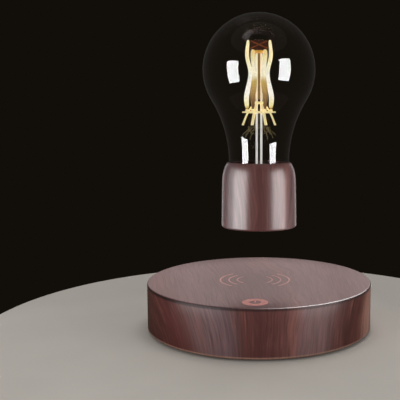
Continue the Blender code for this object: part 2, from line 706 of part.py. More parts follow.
def glass_outline():
    """The wall of the glass: a sphere that flows through a wide hollow curve into the neck."""
    # The hollow curve touches the sphere and ends upright at the top of the cap.
    drop = GLASS_CENTRE - CAP_HEIGHT
    sweep = (drop**2 + neck_radius**2 - GLASS_RADIUS**2) / (2 * (GLASS_RADIUS - neck_radius))
    centre_radius = neck_radius + sweep
    join_angle = math.degrees(math.atan2(drop, centre_radius))
    dome = arc(0, GLASS_CENTRE, GLASS_RADIUS, GLASS_RADIUS, 90, -join_angle, GLASS_DOME_STEPS)
    hollow = arc(centre_radius, CAP_HEIGHT, -sweep, sweep, join_angle, 0, GLASS_NECK_STEPS)
    outer = dome + hollow[1:]
    inner_radius = GLASS_RADIUS - GLASS_WALL
    inner_sweep = sweep + GLASS_WALL
    inner = arc(0, GLASS_CENTRE, inner_radius, inner_radius, 90, -join_angle, GLASS_DOME_STEPS)
    inner += arc(
        centre_radius, CAP_HEIGHT, -inner_sweep, inner_sweep, join_angle, 0, GLASS_NECK_STEPS
    )[1:]
    outer[0] = (0, outer[0][1])
    inner[0] = (0, inner[0][1])
    return outer + [(neck_radius, neck_bottom), (neck_inner_radius, neck_bottom)] + inner[::-1]


def glass_and_neck(bulb):
    """The glass, the collar that its neck stands on, and the disc that the rods come through."""
    add("bulb_glass", turned("bulb_glass", glass_outline(), BULB_SIDES), clear_glass, bulb)
    disc_radius = neck_inner_radius - SEAT_GAP
    collar_bottom = collar_top - COLLAR_THICKNESS
    collar = tube_outline(disc_radius - COLLAR_LEDGE, inner_fit_radius, collar_bottom, collar_top)
    add("neck_collar", turned("neck_collar", collar, BULB_SIDES), grey_plastic, bulb)
    disc_top = neck_bottom + STEM_DISC_THICKNESS
    disc = disc_outline(disc_radius, neck_bottom, disc_top)
    disc = add("stem_disc", turned("stem_disc", disc, COIL_SIDES), black_plastic, bulb)
    hole = disc_outline(rod_hole_radius, neck_bottom - CUT_OVERRUN, disc_top + CUT_OVERRUN)
    cut(disc, turned("rod_holes", hole, POST_SIDES, rod_places))


def support_rods(bulb):
    """The two rods that stand on the receiver board and carry the filament."""
    rod = turned("support_rod", disc_outline(ROD_RADIUS, on_receiver_board, rod_top), WIRE_SIDES)
    for side, (x, y) in zip(("left", "right"), rod_places):
        add(f"support_rod_{side}", rod, nickel, bulb, (x, y, 0))


def strand_radius(height):
    """How far a strand's middle is from the bulb's axis: out, in at the waist, and out again."""
    marks = [
        (0, STRAND_END_RADIUS),
        (LOWER_BULGE_SHARE, LOWER_BULGE_RADIUS),
        (WAIST_SHARE, WAIST_RADIUS),
        (UPPER_BULGE_SHARE, UPPER_BULGE_RADIUS),
        (1, STRAND_TOP_RADIUS),
    ]
    share = (height - strand_bottom) / (tall_strand_top - strand_bottom)
    for (low, low_radius), (high, high_radius) in zip(marks, marks[1:]):
        if share <= high:
            ease = (1 - math.cos(math.pi * (share - low) / (high - low))) / 2
            return low_radius + (high_radius - low_radius) * ease
    return STRAND_TOP_RADIUS


def strand_mesh(name, top):
    """A round-edged strand that follows the hourglass, in the XZ plane."""
    corners = []
    for i in range(WIRE_SIDES):
        angle = FULL_TURN * (i + 1 / 2) / WIRE_SIDES
        across = STRAND_DEPTH / 2 * math.cos(angle)
        corners.append(Vector((across, STRAND_WIDTH / 2 * math.sin(angle), 0)))
    stations = []
    for i in range(STRAND_STEPS + 1):
        height = strand_bottom + (top - strand_bottom) * i / STRAND_STEPS
        stations.append(Matrix.Translation((strand_radius(height), 0, height)))
    return swept(name, stations, corners)


def filament(bulb):
    """Six strands round the rods, the two at the sides taller, with what joins their tops."""
    tall = strand_mesh("tall_strand", tall_strand_top)
    short = strand_mesh("short_strand", hub_top)
    short_turns = []
    for i in range(STRAND_COUNT):
        turn = FULL_TURN * i / STRAND_COUNT
        is_tall = i % (STRAND_COUNT // 2) == 0
        add(f"filament_strand_{i + 1}", tall if is_tall else short, phosphor, bulb, turn=turn)
        if not is_tall:
            short_turns.append(turn)

    hub = turned("top_hub", disc_outline(TOP_HUB_RADIUS, hub_bottom, hub_top), POST_SIDES)
    hub = add("filament_hub", hub, gilt_steel, bulb)
    arm_end = strand_radius(hub_top) - STRAND_DEPTH / 2 - SEAT_GAP
    arm_start = TOP_HUB_RADIUS / 2
    arm_size = (arm_end - arm_start, ARM_WIDTH, TOP_HUB_THICKNESS / 2)
    middle = (arm_start + arm_end) / 2
    height = hub_bottom + TOP_HUB_THICKNESS / 2
    centres = [(middle * math.cos(turn), middle * math.sin(turn), height) for turn in short_turns]
    join(hub, blocks("hub_arms", arm_size, centres, short_turns))
    filament_brace(bulb)


def wire_between(start, end, radius):
    """The stations and the section of a straight round wire."""
    along = end - start
    frame = along.to_track_quat("Z", "Y").to_matrix().to_4x4()
    corners = [Vector((x, y, 0)) for x, y in around(radius, WIRE_SIDES, FULL_TURN / WIRE_SIDES / 2)]
    return [Matrix.Translation(start) @ frame, Matrix.Translation(end) @ frame], corners


def filament_brace(bulb):
    """Two wires that cross between the tops of the tall strands."""
    reach = STRAND_TOP_RADIUS - STRAND_DEPTH / 2 - SEAT_GAP - BRACE_RADIUS
    wires = []
    for start, end in ((brace_high, brace_low), (brace_low, brace_high)):
        wire = wire_between(Vector((-reach, 0, start)), Vector((reach, 0, end)), BRACE_RADIUS)
        wires.append(swept("brace_wire", *wire))
    brace = add("filament_brace", wires[0], copper, bulb)
    join(brace, wires[1])


def rib_mesh():
    """The spider's ribs: flat strips that fall from the hub over the ring to their tips."""
    shape = bmesh.new()
    path = [
        (spider_hub_radius + SPIDER_HUB_WALL / 2, spider_ring + SPIDER_HUB_RISE),
        (STRAND_END_RADIUS, spider_ring),
        (RIB_TIP_RADIUS, spider_ring - RIB_TIP_DROP),
    ]
    for i in range(SPIDER_RIBS):
        turn = Matrix.Rotation(FULL_TURN * (i + 1 / 2) / SPIDER_RIBS, 3, "Z")
        rings = []
        for radius, height in path:
            ring = []
            for side, rise in ((-1, -1), (1, -1), (1, 1), (-1, 1)):
                corner = Vector((radius, side * RIB_WIDTH / 2, height + rise * RIB_THICKNESS))
                ring.append(shape.verts.new(turn @ corner))
            rings.append(ring)
        for lower, upper in zip(rings, rings[1:]):
            for a in range(len(lower)):
                b = (a + 1) % len(lower)
                shape.faces.new((lower[a], lower[b], upper[b], upper[a]))
        shape.faces.new(rings[0])
        shape.faces.new(rings[-1])
    return mesh_of("spider_ribs", shape)


def filament_spider(bulb):
    """The umbrella under the strands: a hub round the rods, a ring, and ribs."""
    section = around(SPIDER_WIRE_RADIUS, WIRE_SIDES)
    ring_outline = [(STRAND_END_RADIUS + x, spider_ring + y) for x, y in section]
    spider = turned("filament_spider", ring_outline, COIL_SIDES)
    spider = add("filament_spider", spider, gilt_steel, bulb)
    join(spider, rib_mesh())
    hub_low = spider_ring + SPIDER_HUB_RISE - SPIDER_HUB_HEIGHT / 2
    hub_outer = spider_hub_radius + SPIDER_HUB_WALL
    hub = tube_outline(spider_hub_radius, hub_outer, hub_low, hub_low + SPIDER_HUB_HEIGHT)
    join(spider, turned("spider_hub", hub, WINDING_SIDES))
    stub = disc_outline(STUB_RADIUS, spider_ring, strand_bottom - SEAT_GAP)
    join(spider, turned("spider_stubs", stub, WIRE_SIDES, around(STRAND_END_RADIUS, STRAND_COUNT)))
    tab_centre = STRAND_END_RADIUS + TAB_REACH / 2
    centres = [(-tab_centre, 0, spider_ring), (tab_centre, 0, spider_ring)]
    join(spider, blocks("spider_tabs", (TAB_REACH, RIB_WIDTH, RIB_THICKNESS), centres))


def frame_empty(name, height):
    """An empty on the lamp's upright axis, which carries the pieces that move together."""
    empty = bpy.data.objects.new(name, None)
    bpy.context.scene.collection.objects.link(empty)
    empty.location = (0, 0, height)
    return empty


clear_scene()

wood_film = finish("dark_wood_film", (0.08, 0.035, 0.03), 0.38)
black_plastic = finish("black_plastic", (0.02, 0.02, 0.022), 0.5)
grey_plastic = finish("grey_plastic", (0.35, 0.35, 0.36), 0.55)
rubber = finish("black_rubber", (0.015, 0.015, 0.015), 0.85)
zinc_steel = finish("zinc_plated_steel", (0.6, 0.6, 0.62), 0.3, metallic=1.0)
circuit_board = finish("green_circuit_board", (0.02, 0.16, 0.07), 0.45)
chip_plastic = finish("chip_plastic", (0.03, 0.03, 0.035), 0.4)
ferrite = finish("ferrite", (0.07, 0.07, 0.075), 0.6, metallic=0.3)
copper = finish("enamelled_copper", (0.6, 0.22, 0.09), 0.35, metallic=1.0)
aluminium = finish("aluminium_can", (0.75, 0.76, 0.78), 0.3, metallic=1.0)
nickel = finish("nickel_plate", (0.72, 0.7, 0.66), 0.22, metallic=1.0)
clear_glass = finish("clear_glass", (0.95, 0.96, 0.97), 0.03, transmission=1.0)
phosphor = finish("phosphor_silicone", (1.0, 0.78, 0.42), 0.5, glow=1.0)
gilt_steel = finish("gilt_steel", (0.85, 0.62, 0.25), 0.3, metallic=1.0)

base_frame = frame_empty("base", 0)
lift_frame = frame_empty("levitation_axis", cap_bottom)
bulb_frame = frame_empty("bulb_spin_axis", cap_bottom)

base_housing(base_frame)
main_board(base_frame)
power_inlet(base_frame)
touch_spring(base_frame)
coil_frame(base_frame)
bulb_cap(bulb_frame)
magnet_and_receiver(lift_frame, bulb_frame)
glass_and_neck(bulb_frame)
support_rods(bulb_frame)
filament(bulb_frame)
filament_spider(bulb_frame)
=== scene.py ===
# %% [markdown]
# # A levitating lamp
# A round base holds a small light bulb in the air. This notebook dresses the exact CAD model with
# finer pieces and real finishes. The CAD model is loaded first, as a fixed frame in metres, and each
# new piece then goes where the frame says that its plain twin is.

# %% Load the fixed frame
import functools
import math

import bpy
from mathutils import Matrix, Vector


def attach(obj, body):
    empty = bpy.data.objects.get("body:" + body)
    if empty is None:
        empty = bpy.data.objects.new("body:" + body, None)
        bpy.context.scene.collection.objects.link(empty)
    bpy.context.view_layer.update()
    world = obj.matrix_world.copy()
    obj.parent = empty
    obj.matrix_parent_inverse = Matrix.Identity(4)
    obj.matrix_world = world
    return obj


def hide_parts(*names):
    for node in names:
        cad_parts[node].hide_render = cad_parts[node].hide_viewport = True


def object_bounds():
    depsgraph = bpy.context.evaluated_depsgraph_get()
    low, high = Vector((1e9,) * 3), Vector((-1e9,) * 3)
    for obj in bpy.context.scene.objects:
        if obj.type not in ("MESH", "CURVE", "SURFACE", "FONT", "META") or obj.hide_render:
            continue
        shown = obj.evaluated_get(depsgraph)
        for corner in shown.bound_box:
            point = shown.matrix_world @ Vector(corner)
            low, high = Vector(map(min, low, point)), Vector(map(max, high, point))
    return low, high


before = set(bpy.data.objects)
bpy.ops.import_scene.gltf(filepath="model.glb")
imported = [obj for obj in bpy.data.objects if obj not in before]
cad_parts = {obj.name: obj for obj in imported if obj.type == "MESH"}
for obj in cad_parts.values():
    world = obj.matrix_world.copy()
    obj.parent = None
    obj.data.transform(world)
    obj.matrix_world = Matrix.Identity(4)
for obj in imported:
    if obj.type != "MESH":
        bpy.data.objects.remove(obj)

cad_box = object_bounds()
cad_size = [high - low for low, high in zip(*cad_box)]
print("frame:", len(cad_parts), "nodes, size in m", [round(side, 4) for side in cad_size])

# %% [markdown]
# ## Small tools
# Pieces are drawn in millimetres, as in a workshop, and the small tools turn them to metres. Camera
# and lights are placed in metres. Most of this lamp is round, so the main tool is a lathe: a circle
# of loose points is bent into the profile of the piece and spun about the upright axis. Corners are
# rounded in the profile, because a moulded part never has a knife edge, and it is the rounding that
# catches the light.

# %% Selecting and naming
MM = 0.001
FULL_TURN = 2 * math.pi
print("1 mm is", MM, "m here")


def select_only(*chosen):
    """Nothing but the chosen objects is selected, and the first is active."""
    bpy.ops.object.select_all(action="DESELECT")
    for item in chosen:
        item.select_set(True)
    bpy.context.view_layer.objects.active = chosen[0]


def report(piece):
    """Prints how many points a piece has, and its size."""
    low = [min(corner[i] for corner in piece.bound_box) / MM for i in range(3)]
    high = [max(corner[i] for corner in piece.bound_box) / MM for i in range(3)]
    size = " x ".join(f"{b - a:.1f}" for a, b in zip(low, high))
    print(f"{piece.name}: {len(piece.data.vertices)} points, {size} mm")


def stands_in(piece, body, node):
    """The piece rides on a body and stands for a CAD node, which is hidden. Its size is printed."""
    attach(piece, body)
    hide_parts(node)
    report(piece)
    return piece


# %% Rounded profiles
ROUND_STEPS = 4


def ellipse(centre, width, height, start, end, steps):
    """Points on part of an ellipse, from one angle in degrees to another."""
    points = []
    for step in range(steps + 1):
        angle = math.radians(start + (end - start) * step / steps)
        across = centre[0] + width * math.cos(angle)
        points.append((across, centre[1] + height * math.sin(angle)))
    return points


def rounded(corners, steps=ROUND_STEPS):
    """A profile in which each corner written with a third number is rounded to that radius."""
    profile = []
    for i, (radius, height, *curve) in enumerate(corners):
        here = Vector((radius, height))
        if not curve:
            profile.append(tuple(here))
            continue
        back = (Vector(corners[i - 1][:2]) - here).normalized()
        ahead = (Vector(corners[(i + 1) % len(corners)][:2]) - here).normalized()
        half = back.angle(ahead) / 2
        centre = here + (back + ahead).normalized() * curve[0] / math.sin(half)
        start = here + back * curve[0] / math.tan(half) - centre
        end = here + ahead * curve[0] / math.tan(half) - centre
        first = math.degrees(math.atan2(start.y, start.x))
        sweep = (math.degrees(math.atan2(end.y, end.x)) - first + 180) % 360 - 180
        profile += ellipse(centre, curve[0], curve[0], first, first + sweep, steps)
    return profile


square = rounded([(0, 0, 1), (5, 0, 1), (5, 5, 1), (0, 5, 1)])
print("a 5 mm square rounded by 1 mm:", len(square), "points")

# %% The lathe
SHARP = math.radians(32)
MERGE = 0.0005 * MM


def point_circle(count, fill="NGON"):
    """A small circle of points to be moved into place, with nothing else selected."""
    bpy.ops.object.select_all(action="DESELECT")
    bpy.ops.mesh.primitive_circle_add(vertices=count, radius=MM, fill_type=fill)
    return bpy.context.object


def end_edit():
    """Turns all faces outwards and leaves edit mode."""
    bpy.ops.mesh.select_all(action="SELECT")
    bpy.ops.mesh.normals_make_consistent(inside=False)
    bpy.ops.object.mode_set(mode="OBJECT")


def turned(name, profile, steps, angle=FULL_TURN):
    """A piece turned about an upright axis from (radius, height) points."""
    piece = point_circle(len(profile), "NOTHING")
    piece.name = name
    mesh = piece.data
    for vertex, (radius, height) in zip(mesh.vertices, profile):
        vertex.co = (radius * MM, 0, height * MM)
    on_axis = [abs(radius) < MM for radius, _ in profile]
    for edge in mesh.edges:
        edge.select = all(on_axis[i] for i in edge.vertices)
    for vertex in mesh.vertices:
        vertex.select = any(edge.select and vertex.index in edge.vertices for edge in mesh.edges)
    bpy.ops.object.mode_set(mode="EDIT")
    bpy.ops.mesh.select_mode(type="EDGE")
    if any(on_axis):
        bpy.ops.mesh.delete(type="EDGE_FACE")
    bpy.ops.mesh.select_all(action="SELECT")
    bpy.ops.mesh.spin(steps=steps, angle=-angle, center=(0, 0, 0), axis=(0, 0, 1))
    bpy.ops.mesh.select_all(action="SELECT")
    bpy.ops.mesh.remove_doubles(threshold=MERGE)
    end_edit()
    bpy.ops.object.shade_smooth_by_angle(angle=SHARP)
    return piece


# %% Placing and copying
def moved(piece, x=0, y=0, turn=0):
    """Turns a piece's points about Z, then shifts them, so that its object stays at the origin."""
    piece.data.transform(Matrix.Translation((x * MM, y * MM, 0)) @ Matrix.Rotation(turn, 4, "Z"))
    return piece


def laid_back(piece, height):
    """Tips a turned piece, so that its axis points to the back at a height."""
    tip = Matrix.Rotation(-math.pi / 2, 4, "X")
    piece.data.transform(Matrix.Translation((0, 0, height * MM)) @ tip)
    return piece


def copied(piece, name, **place):
    """A copy with its own mesh, at its own place."""
    twin = piece.copy()
    twin.data = piece.data.copy()
    twin.name = name
    bpy.context.scene.collection.objects.link(twin)
    return moved(twin, **place)


def spread(model, places):
    """A copy of the model at each (x, y) place, and the model itself removed."""
    copies = [copied(model, f"{model.name}_{i}", x=x, y=y) for i, (x, y) in enumerate(places)]
    bpy.data.objects.remove(model)
    return copies


def joined(name, *parts):
    """Several closed bodies as one piece."""
    select_only(*parts)
    bpy.ops.object.join()
    parts[0].name = name
    return parts[0]


def around(radius, count, start=0.0):
    """Evenly spaced (x, y) places on a circle."""
    angles = [math.radians(start) + FULL_TURN * i / count for i in range(count)]
    return [(radius * math.cos(angle), radius * math.sin(angle)) for angle in angles]


print("three places on a circle:", [(round(x), round(y)) for x, y in around(10, 3)])


# %% Modifiers and cubes
def applied(piece, kind, **settings):
    """Gives a piece a modifier and applies it at once."""
    modifier = piece.modifiers.new(kind.lower(), kind)
    for name, value in settings.items():
        setattr(modifier, name, value)
    select_only(piece)
    bpy.ops.object.modifier_apply(modifier=modifier.name)


def cut_out(piece, cutter):
    """Cuts a hole with another closed piece, which is then thrown away."""
    applied(piece, "BOOLEAN", object=cutter, operation="DIFFERENCE", solver="EXACT")
    bpy.data.objects.remove(cutter)
    select_only(piece)
    bpy.ops.object.shade_smooth_by_angle(angle=SHARP)


def shaped_cube(place):
    """A cube whose corners, at -1 or 1 along x, y and z, each go where a function puts them."""
    bpy.ops.object.select_all(action="DESELECT")
    bpy.ops.mesh.primitive_cube_add(size=MM)
    piece = bpy.context.object
    for vertex in piece.data.vertices:
        vertex.co = Vector(place(*(vertex.co / MM * 2))) * MM
    return piece


print("joints up to", round(math.degrees(SHARP)), "degrees are shaded smooth")

# %% [markdown]
# ## Camera
# The picture was taken from low in front, and the lamp stands right of its middle with its sides
# upright and its rims level. A camera that turned to the left would tip them, so it looks straight
# ahead, and its lens is shifted. Its place, tilt and lens were found by fitting the rims of the base
# and the outline of the bulb.

# %% Camera
FRAME_PIXELS = 400
FOCAL_PIXELS = 673
LAMP_RIGHT_PIXELS = 59
SENSOR = 36
CAMERA_PLACE = (0, -0.3648, 0.1100)
PITCH_DOWN = 0.1105

lens = bpy.data.cameras.new("camera")
lens.sensor_width = SENSOR
lens.lens = FOCAL_PIXELS * SENSOR / FRAME_PIXELS
lens.shift_x = -LAMP_RIGHT_PIXELS / FRAME_PIXELS
lens.clip_start = 0.01
camera = bpy.data.objects.new("camera", lens)
camera.location = CAMERA_PLACE
camera.rotation_euler = (math.pi / 2 - PITCH_DOWN, 0, 0)
bpy.context.scene.collection.objects.link(camera)
bpy.context.scene.camera = camera
bpy.context.scene.view_settings.view_transform = "Standard"
print("lens", round(lens.lens, 2), "mm")

# %% [markdown]
# ## Base shell
# The base is one moulded ABS shell, a drum with a flat lid. Its rim is rounded by 0.9 mm, and its
# foot has a small chamfer. It could be cut from a cylinder and hollowed, but one spun profile gives
# the lid, rim, side and inner wall together, with all their roundings. The round window for the
# power plug is then cut through the back wall, with a slightly flared edge.

# %% Base shell
BASE_RADIUS = 61.0
SHELL_BOTTOM = 1.0
LID_TOP = 25.8
CEILING = 23.8
SHELL_INSIDE = 58.8
JACK_HEIGHT = 13.5
WINDOW_RADIUS = 5.4
BOSS_PLACES = around(54.6, 4, start=45)
BOSS_ROOT = CEILING + 0.6

base_shell = turned("base_shell_film_wrapped", rounded([
    (0, LID_TOP), (20, LID_TOP), (40, LID_TOP), (BASE_RADIUS, LID_TOP, 0.9),
    (BASE_RADIUS, 18.0), (BASE_RADIUS, 10.0), (BASE_RADIUS, SHELL_BOTTOM + 0.6, 0.3),
    (BASE_RADIUS - 0.6, SHELL_BOTTOM, 0.2), (SHELL_INSIDE, SHELL_BOTTOM, 0.3),
    (SHELL_INSIDE, CEILING, 1.0), (0, CEILING),
], steps=6), steps=256)

window_cutter = turned("window_cutter", [
    (0, 50), (WINDOW_RADIUS, 50), (WINDOW_RADIUS, 60.2), (WINDOW_RADIUS + 0.9, 61.1),
    (WINDOW_RADIUS + 0.9, 64), (0, 64),
], steps=64)
cut_out(base_shell, laid_back(window_cutter, JACK_HEIGHT))

boss = turned("screw_boss", rounded([
    (3.4, BOSS_ROOT), (3.4, 4.1, 0.2), (1.4, 4.1, 0.2), (1.4, 12.0), (0, 12.0), (0, BOSS_ROOT),
]), steps=32)
joined("base_shell_film_wrapped", base_shell, *spread(boss, BOSS_PLACES))
stands_in(base_shell, "base", "base_shell")

# %% [markdown]
# ## Marks on the lid
# Three short arcs on each side show where the power leaves the coil under the lid, and a thick ring
# with a dash in it marks the touch key. On the real lid they are coral ink, a few hundredths of a
# millimetre thick. They could be drawn in the film's material, but thin solid ink keeps a crisp edge
# from close by. Each arc is a flat bar that is spun through part of a turn.

# %% Marks on the lid
INK = 0.04
INK_SINK = 0.02
ARC_CENTRE = (-2.3, -2.3)
ARC_RADII = (9.6, 14.2, 18.9)
ARC_HALF_ANGLE = 49
ARC_WIDTH = 0.8
KEY_CENTRE = (-1.8, -49.8)
KEY_RADII = (2.9, 6.3)
DASH_BELOW_KEY = 30
ink_low = LID_TOP - INK_SINK
ink_high = LID_TOP + INK


def ink_arc(name, centre, inner, outer, first, last, steps=48):
    """A flat bar of ink, spun from one angle in degrees to another."""
    bar = [(inner, ink_high), (outer, ink_high), (outer, ink_low), (inner, ink_low)]
    piece = turned(name, bar, steps, math.radians(last - first))
    applied(piece, "WELD", merge_threshold=MERGE)
    bpy.ops.object.mode_set(mode="EDIT")
    bpy.ops.mesh.select_all(action="DESELECT")
    bpy.ops.mesh.select_non_manifold()
    if last - first < 360:
        bpy.ops.mesh.edge_face_add()
    end_edit()
    return moved(piece, x=centre[0], y=centre[1], turn=math.radians(first))


arcs = []
for radius in ARC_RADII:
    for middle in (0, 180):
        arcs.append(ink_arc(
            "arc", ARC_CENTRE, radius - ARC_WIDTH / 2, radius + ARC_WIDTH / 2,
            middle - ARC_HALF_ANGLE, middle + ARC_HALF_ANGLE,
        ))
power_arcs = joined("lid_power_arcs", *arcs)
key_ring = ink_arc("key_ring", KEY_CENTRE, *KEY_RADII, 0, 360, steps=96)
dash_centre = (KEY_CENTRE[0], KEY_CENTRE[1] - DASH_BELOW_KEY)
dash = ink_arc("key_dash", dash_centre, 29.6, 32.4, 89.3, 90.9, steps=4)
key_mark = joined("lid_key_mark", key_ring, dash)
for mark in (power_arcs, key_mark):
    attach(mark, "base")
    report(mark)

# %% [markdown]
# ## Under the base
# A black cover closes the base from below. It is held by four screws beside four rubber feet. The
# cover is turned like the shell, and its foot recesses and screw holes are cut with turned cutters.

# %% Bottom cover
COVER_LOW = 1.4
COVER_HIGH = 3.8
COVER_RADIUS = 58.5
FOOT_PLACES = around(46.0, 4)
PIN_PLACES = around(32.76, 4, start=45)

bottom_cover = turned("bottom_cover_moulded", rounded([
    (0, COVER_HIGH), (30, COVER_HIGH), (COVER_RADIUS, COVER_HIGH, 0.3), (COVER_RADIUS, COVER_LOW, 0.4),
    (30, COVER_LOW), (0, COVER_LOW),
]), steps=160)
recess = turned("foot_recess", [
    (0, COVER_LOW - 1), (6.3, COVER_LOW - 1), (6.3, COVER_LOW + 1.0), (0, COVER_LOW + 1.0),
], steps=64)
hole = turned("screw_hole", [
    (0, 0.5), (2.7, 0.5), (2.7, 3.0), (1.4, 3.0), (1.4, 5.0), (0, 5.0),
], steps=48)
cutters = spread(recess, FOOT_PLACES) + spread(hole, BOSS_PLACES)
cut_out(bottom_cover, joined("cover_cutters", *cutters))
post = turned("board_post", rounded([
    (0, 9.1), (1.4, 9.1, 0.3), (1.4, 5.8), (2.6, 5.8, 0.2), (2.6, 3.2), (0, 3.2),
]), steps=32)
joined("bottom_cover_moulded", bottom_cover, *spread(post, PIN_PLACES))
stands_in(bottom_cover, "base", "bottom_cover")

# %% Rubber feet
foot = turned("rubber_foot", rounded([
    (0, 2.1), (6.0, 2.1, 0.2), (6.0, 0, 0.5), (0, 0),
]), steps=72)
feet = []
for i, (x, y) in enumerate(FOOT_PLACES, 1):
    one = copied(foot, f"rubber_foot_{i}_disc", x=x, y=y)
    feet.append(stands_in(one, "base", f"rubber_foot_{i}"))
bpy.data.objects.remove(foot)

# %% [markdown]
# ## Screws
# Each is a small pan-head screw with a cross recess. The head and shank are turned, and the cross is
# cut by two crossed bars that narrow towards their tips, as the driver's own tip does.

# %% Bottom screws
HEAD_LOW = 1.5
CROSS_HALF_WIDTH = 0.26
CROSS_DEPTH = 0.75
TURN_BETWEEN_SCREWS = 0.7
screw = turned("screw", rounded([
    (0, 11.7), (0.7, 11.7, 0.2), (1.1, 10.8), (1.1, 2.7), (2.4, 2.7, 0.15), (2.4, HEAD_LOW, 0.55),
    (0, HEAD_LOW),
]), steps=48)


def cross_bar(x, y, z):
    """A corner of a bar that is long at the head's face and short at the tip of the driver."""
    return x * (1.3 if z < 0 else 0.7), y * CROSS_HALF_WIDTH, HEAD_LOW + CROSS_DEPTH * z


for turn in (0, math.pi / 2):
    cut_out(screw, moved(shaped_cube(cross_bar), turn=turn))
screws = []
for i, (x, y) in enumerate(BOSS_PLACES, 1):
    turn = TURN_BETWEEN_SCREWS * i
    one = copied(screw, f"bottom_screw_{i}_cross_head", x=x, y=y, turn=turn)
    screws.append(stands_in(one, "base", f"bottom_screw_{i}"))
bpy.data.objects.remove(screw)

# %% [markdown]
# ## Power jack
# The jack stands on the board and looks out of the window at the back. It is a moulded block with a
# round bore and a pin in its middle. A cube is stretched to its size and bevelled, the bore is cut,
# and the pin is turned with a rounded tip.

# %% Power jack
JACK_HALF_WIDTH = 4.5
JACK_HALF_HEIGHT = 5.5
JACK_BACK = 44.33
JACK_FACE = 58.33
BORE_RADIUS = 3.2
BORE_END = 48.83
jack = shaped_cube(lambda x, y, z: (
    JACK_HALF_WIDTH * x, JACK_FACE if y > 0 else JACK_BACK, JACK_HEIGHT + JACK_HALF_HEIGHT * z))
applied(jack, "BEVEL", width=0.5 * MM, segments=3)
bore = turned("jack_bore", [
    (0, BORE_END), (BORE_RADIUS, BORE_END), (BORE_RADIUS, 57.9), (3.7, 58.4), (3.7, 60), (0, 60),
], steps=64)
cut_out(jack, laid_back(bore, JACK_HEIGHT))
jack.name = "power_jack_bored"
stands_in(jack, "base", "power_jack")

PIN_TIP = 56.83
PIN_ROOT = 49.13
pin = turned("power_jack_centre_pin", rounded([
    (0, PIN_TIP), (1.05, PIN_TIP, 0.5), (1.05, PIN_ROOT), (0, PIN_ROOT),
]), steps=48)
laid_back(pin, JACK_HEIGHT)
stands_in(pin, "base", "power_jack_pin")

# %% [markdown]
# ## Bulb cap
# The cap hides the magnet and the receiver coil. It widens a little towards its foot, so that it
# leaves its mould. Its shoulder is a long curve, between a quarter of an ellipse and a straight
# slope: a power over 1 on the ellipse's sine and cosine makes it flatter. Inside, the wall keeps an
# even thickness. The glass stands in its round opening.

# %% Cap shell
CAP_BOTTOM = 55.2
SHOULDER = 25.2
SHOULDER_IN = 16.8
SHOULDER_OUT = 20.0
SHOULDER_POWER = 1.25
SHOULDER_STEPS = 24
CAP_TOP = 35.0
OPENING = 16.5
INNER_SHOULDER = 26.6
LIP_LOW = 33.2


def raised(points):
    """Lifts a profile drawn from the bottom of the cap to its place over the base."""
    return [(point[0], point[1] + CAP_BOTTOM, *point[2:]) for point in points]


cap_profile = [(OPENING, CAP_TOP - 0.25)]
for step in range(SHOULDER_STEPS + 1):
    turn = math.pi / 2 * step / SHOULDER_STEPS
    out = (SHOULDER_OUT - SHOULDER_IN) * math.sin(turn) ** SHOULDER_POWER
    up = (CAP_TOP - SHOULDER) * math.cos(turn) ** SHOULDER_POWER
    cap_profile.append((SHOULDER_IN + out, SHOULDER + up))
cap_profile += [(20.25, 13.3)]
cap_profile += ellipse((19.48, 1.0), 1.0, 1.0, 0, -90, 8)
cap_profile += [(19.15, 0.0), (18.9, 0.25), (18.9, 2.2), (18.4, 6.0)]
cap_profile += ellipse((OPENING, INNER_SHOULDER), 1.9, 6.0, 0, 75, 10)
cap_profile += [(OPENING, LIP_LOW)]
cap_shell = turned("cap_shell_film_wrapped", raised(cap_profile), steps=200)
stands_in(cap_shell, "bulb", "cap_shell")

# %% Cap bottom cover
cap_cover = turned("cap_bottom_disc", rounded(raised([
    (0, 1.8), (18.6, 1.8, 0.2), (18.6, 0.2, 0.3), (10, 0.2), (0, 0.2),
])), steps=128)
stands_in(cap_cover, "bulb", "cap_bottom_cover")

# %% [markdown]
# ## Glass
# The bulb is blown: a sphere that runs through a hollow curve into a wide neck. The curve touches
# the sphere and ends upright at the cap. The wall is 0.9 mm thick, and both of its sides are
# modelled, because light bends at each of them.

# %% Bulb glass
SPHERE_RADIUS = 30.0
SPHERE_CENTRE = 84.0
NECK_RADIUS = 16.2
NECK_FOOT = 27.0
GLASS_WALL = 0.9

drop = SPHERE_CENTRE - CAP_TOP
sweep_radius = (drop**2 + NECK_RADIUS**2 - SPHERE_RADIUS**2) / (2 * (SPHERE_RADIUS - NECK_RADIUS))
sweep_centre = NECK_RADIUS + sweep_radius
touch = math.degrees(math.atan2(drop, sweep_centre))


def glass_side(inset):
    """The profile of one side of the wall, from the top of the sphere down to the cap."""
    radius = SPHERE_RADIUS - inset
    bend = sweep_radius + inset
    side = ellipse((0, SPHERE_CENTRE), radius, radius, 90, -touch, 72)
    side += ellipse((sweep_centre, CAP_TOP), -bend, bend, touch, 0, 36)[1:]
    side[0] = (0, side[0][1])
    return side


foot_of_neck = rounded([
    (NECK_RADIUS, CAP_TOP), (NECK_RADIUS, NECK_FOOT, 0.4),
    (NECK_RADIUS - GLASS_WALL, NECK_FOOT, 0.4), (NECK_RADIUS - GLASS_WALL, CAP_TOP),
])[1:-1]
glass_profile = glass_side(0) + foot_of_neck + glass_side(GLASS_WALL)[::-1]
bulb_glass = turned("bulb_glass_blown", raised(glass_profile), steps=160)
stands_in(bulb_glass, "bulb", "bulb_glass")

# %% [markdown]
# ## Neck
# A collar inside the cap carries the glass, and a dark disc closes the neck. The two rods come up
# through the disc. Both are plain turned pieces.

# %% Neck collar and stem disc
neck_collar = turned("neck_collar_ring", rounded(raised([
    (14.0, 26.7, 0.2), (18.1, 26.7, 0.2), (18.1, 24.7, 0.2), (14.0, 24.7, 0.2),
])), steps=96)
stands_in(neck_collar, "bulb", "neck_collar")

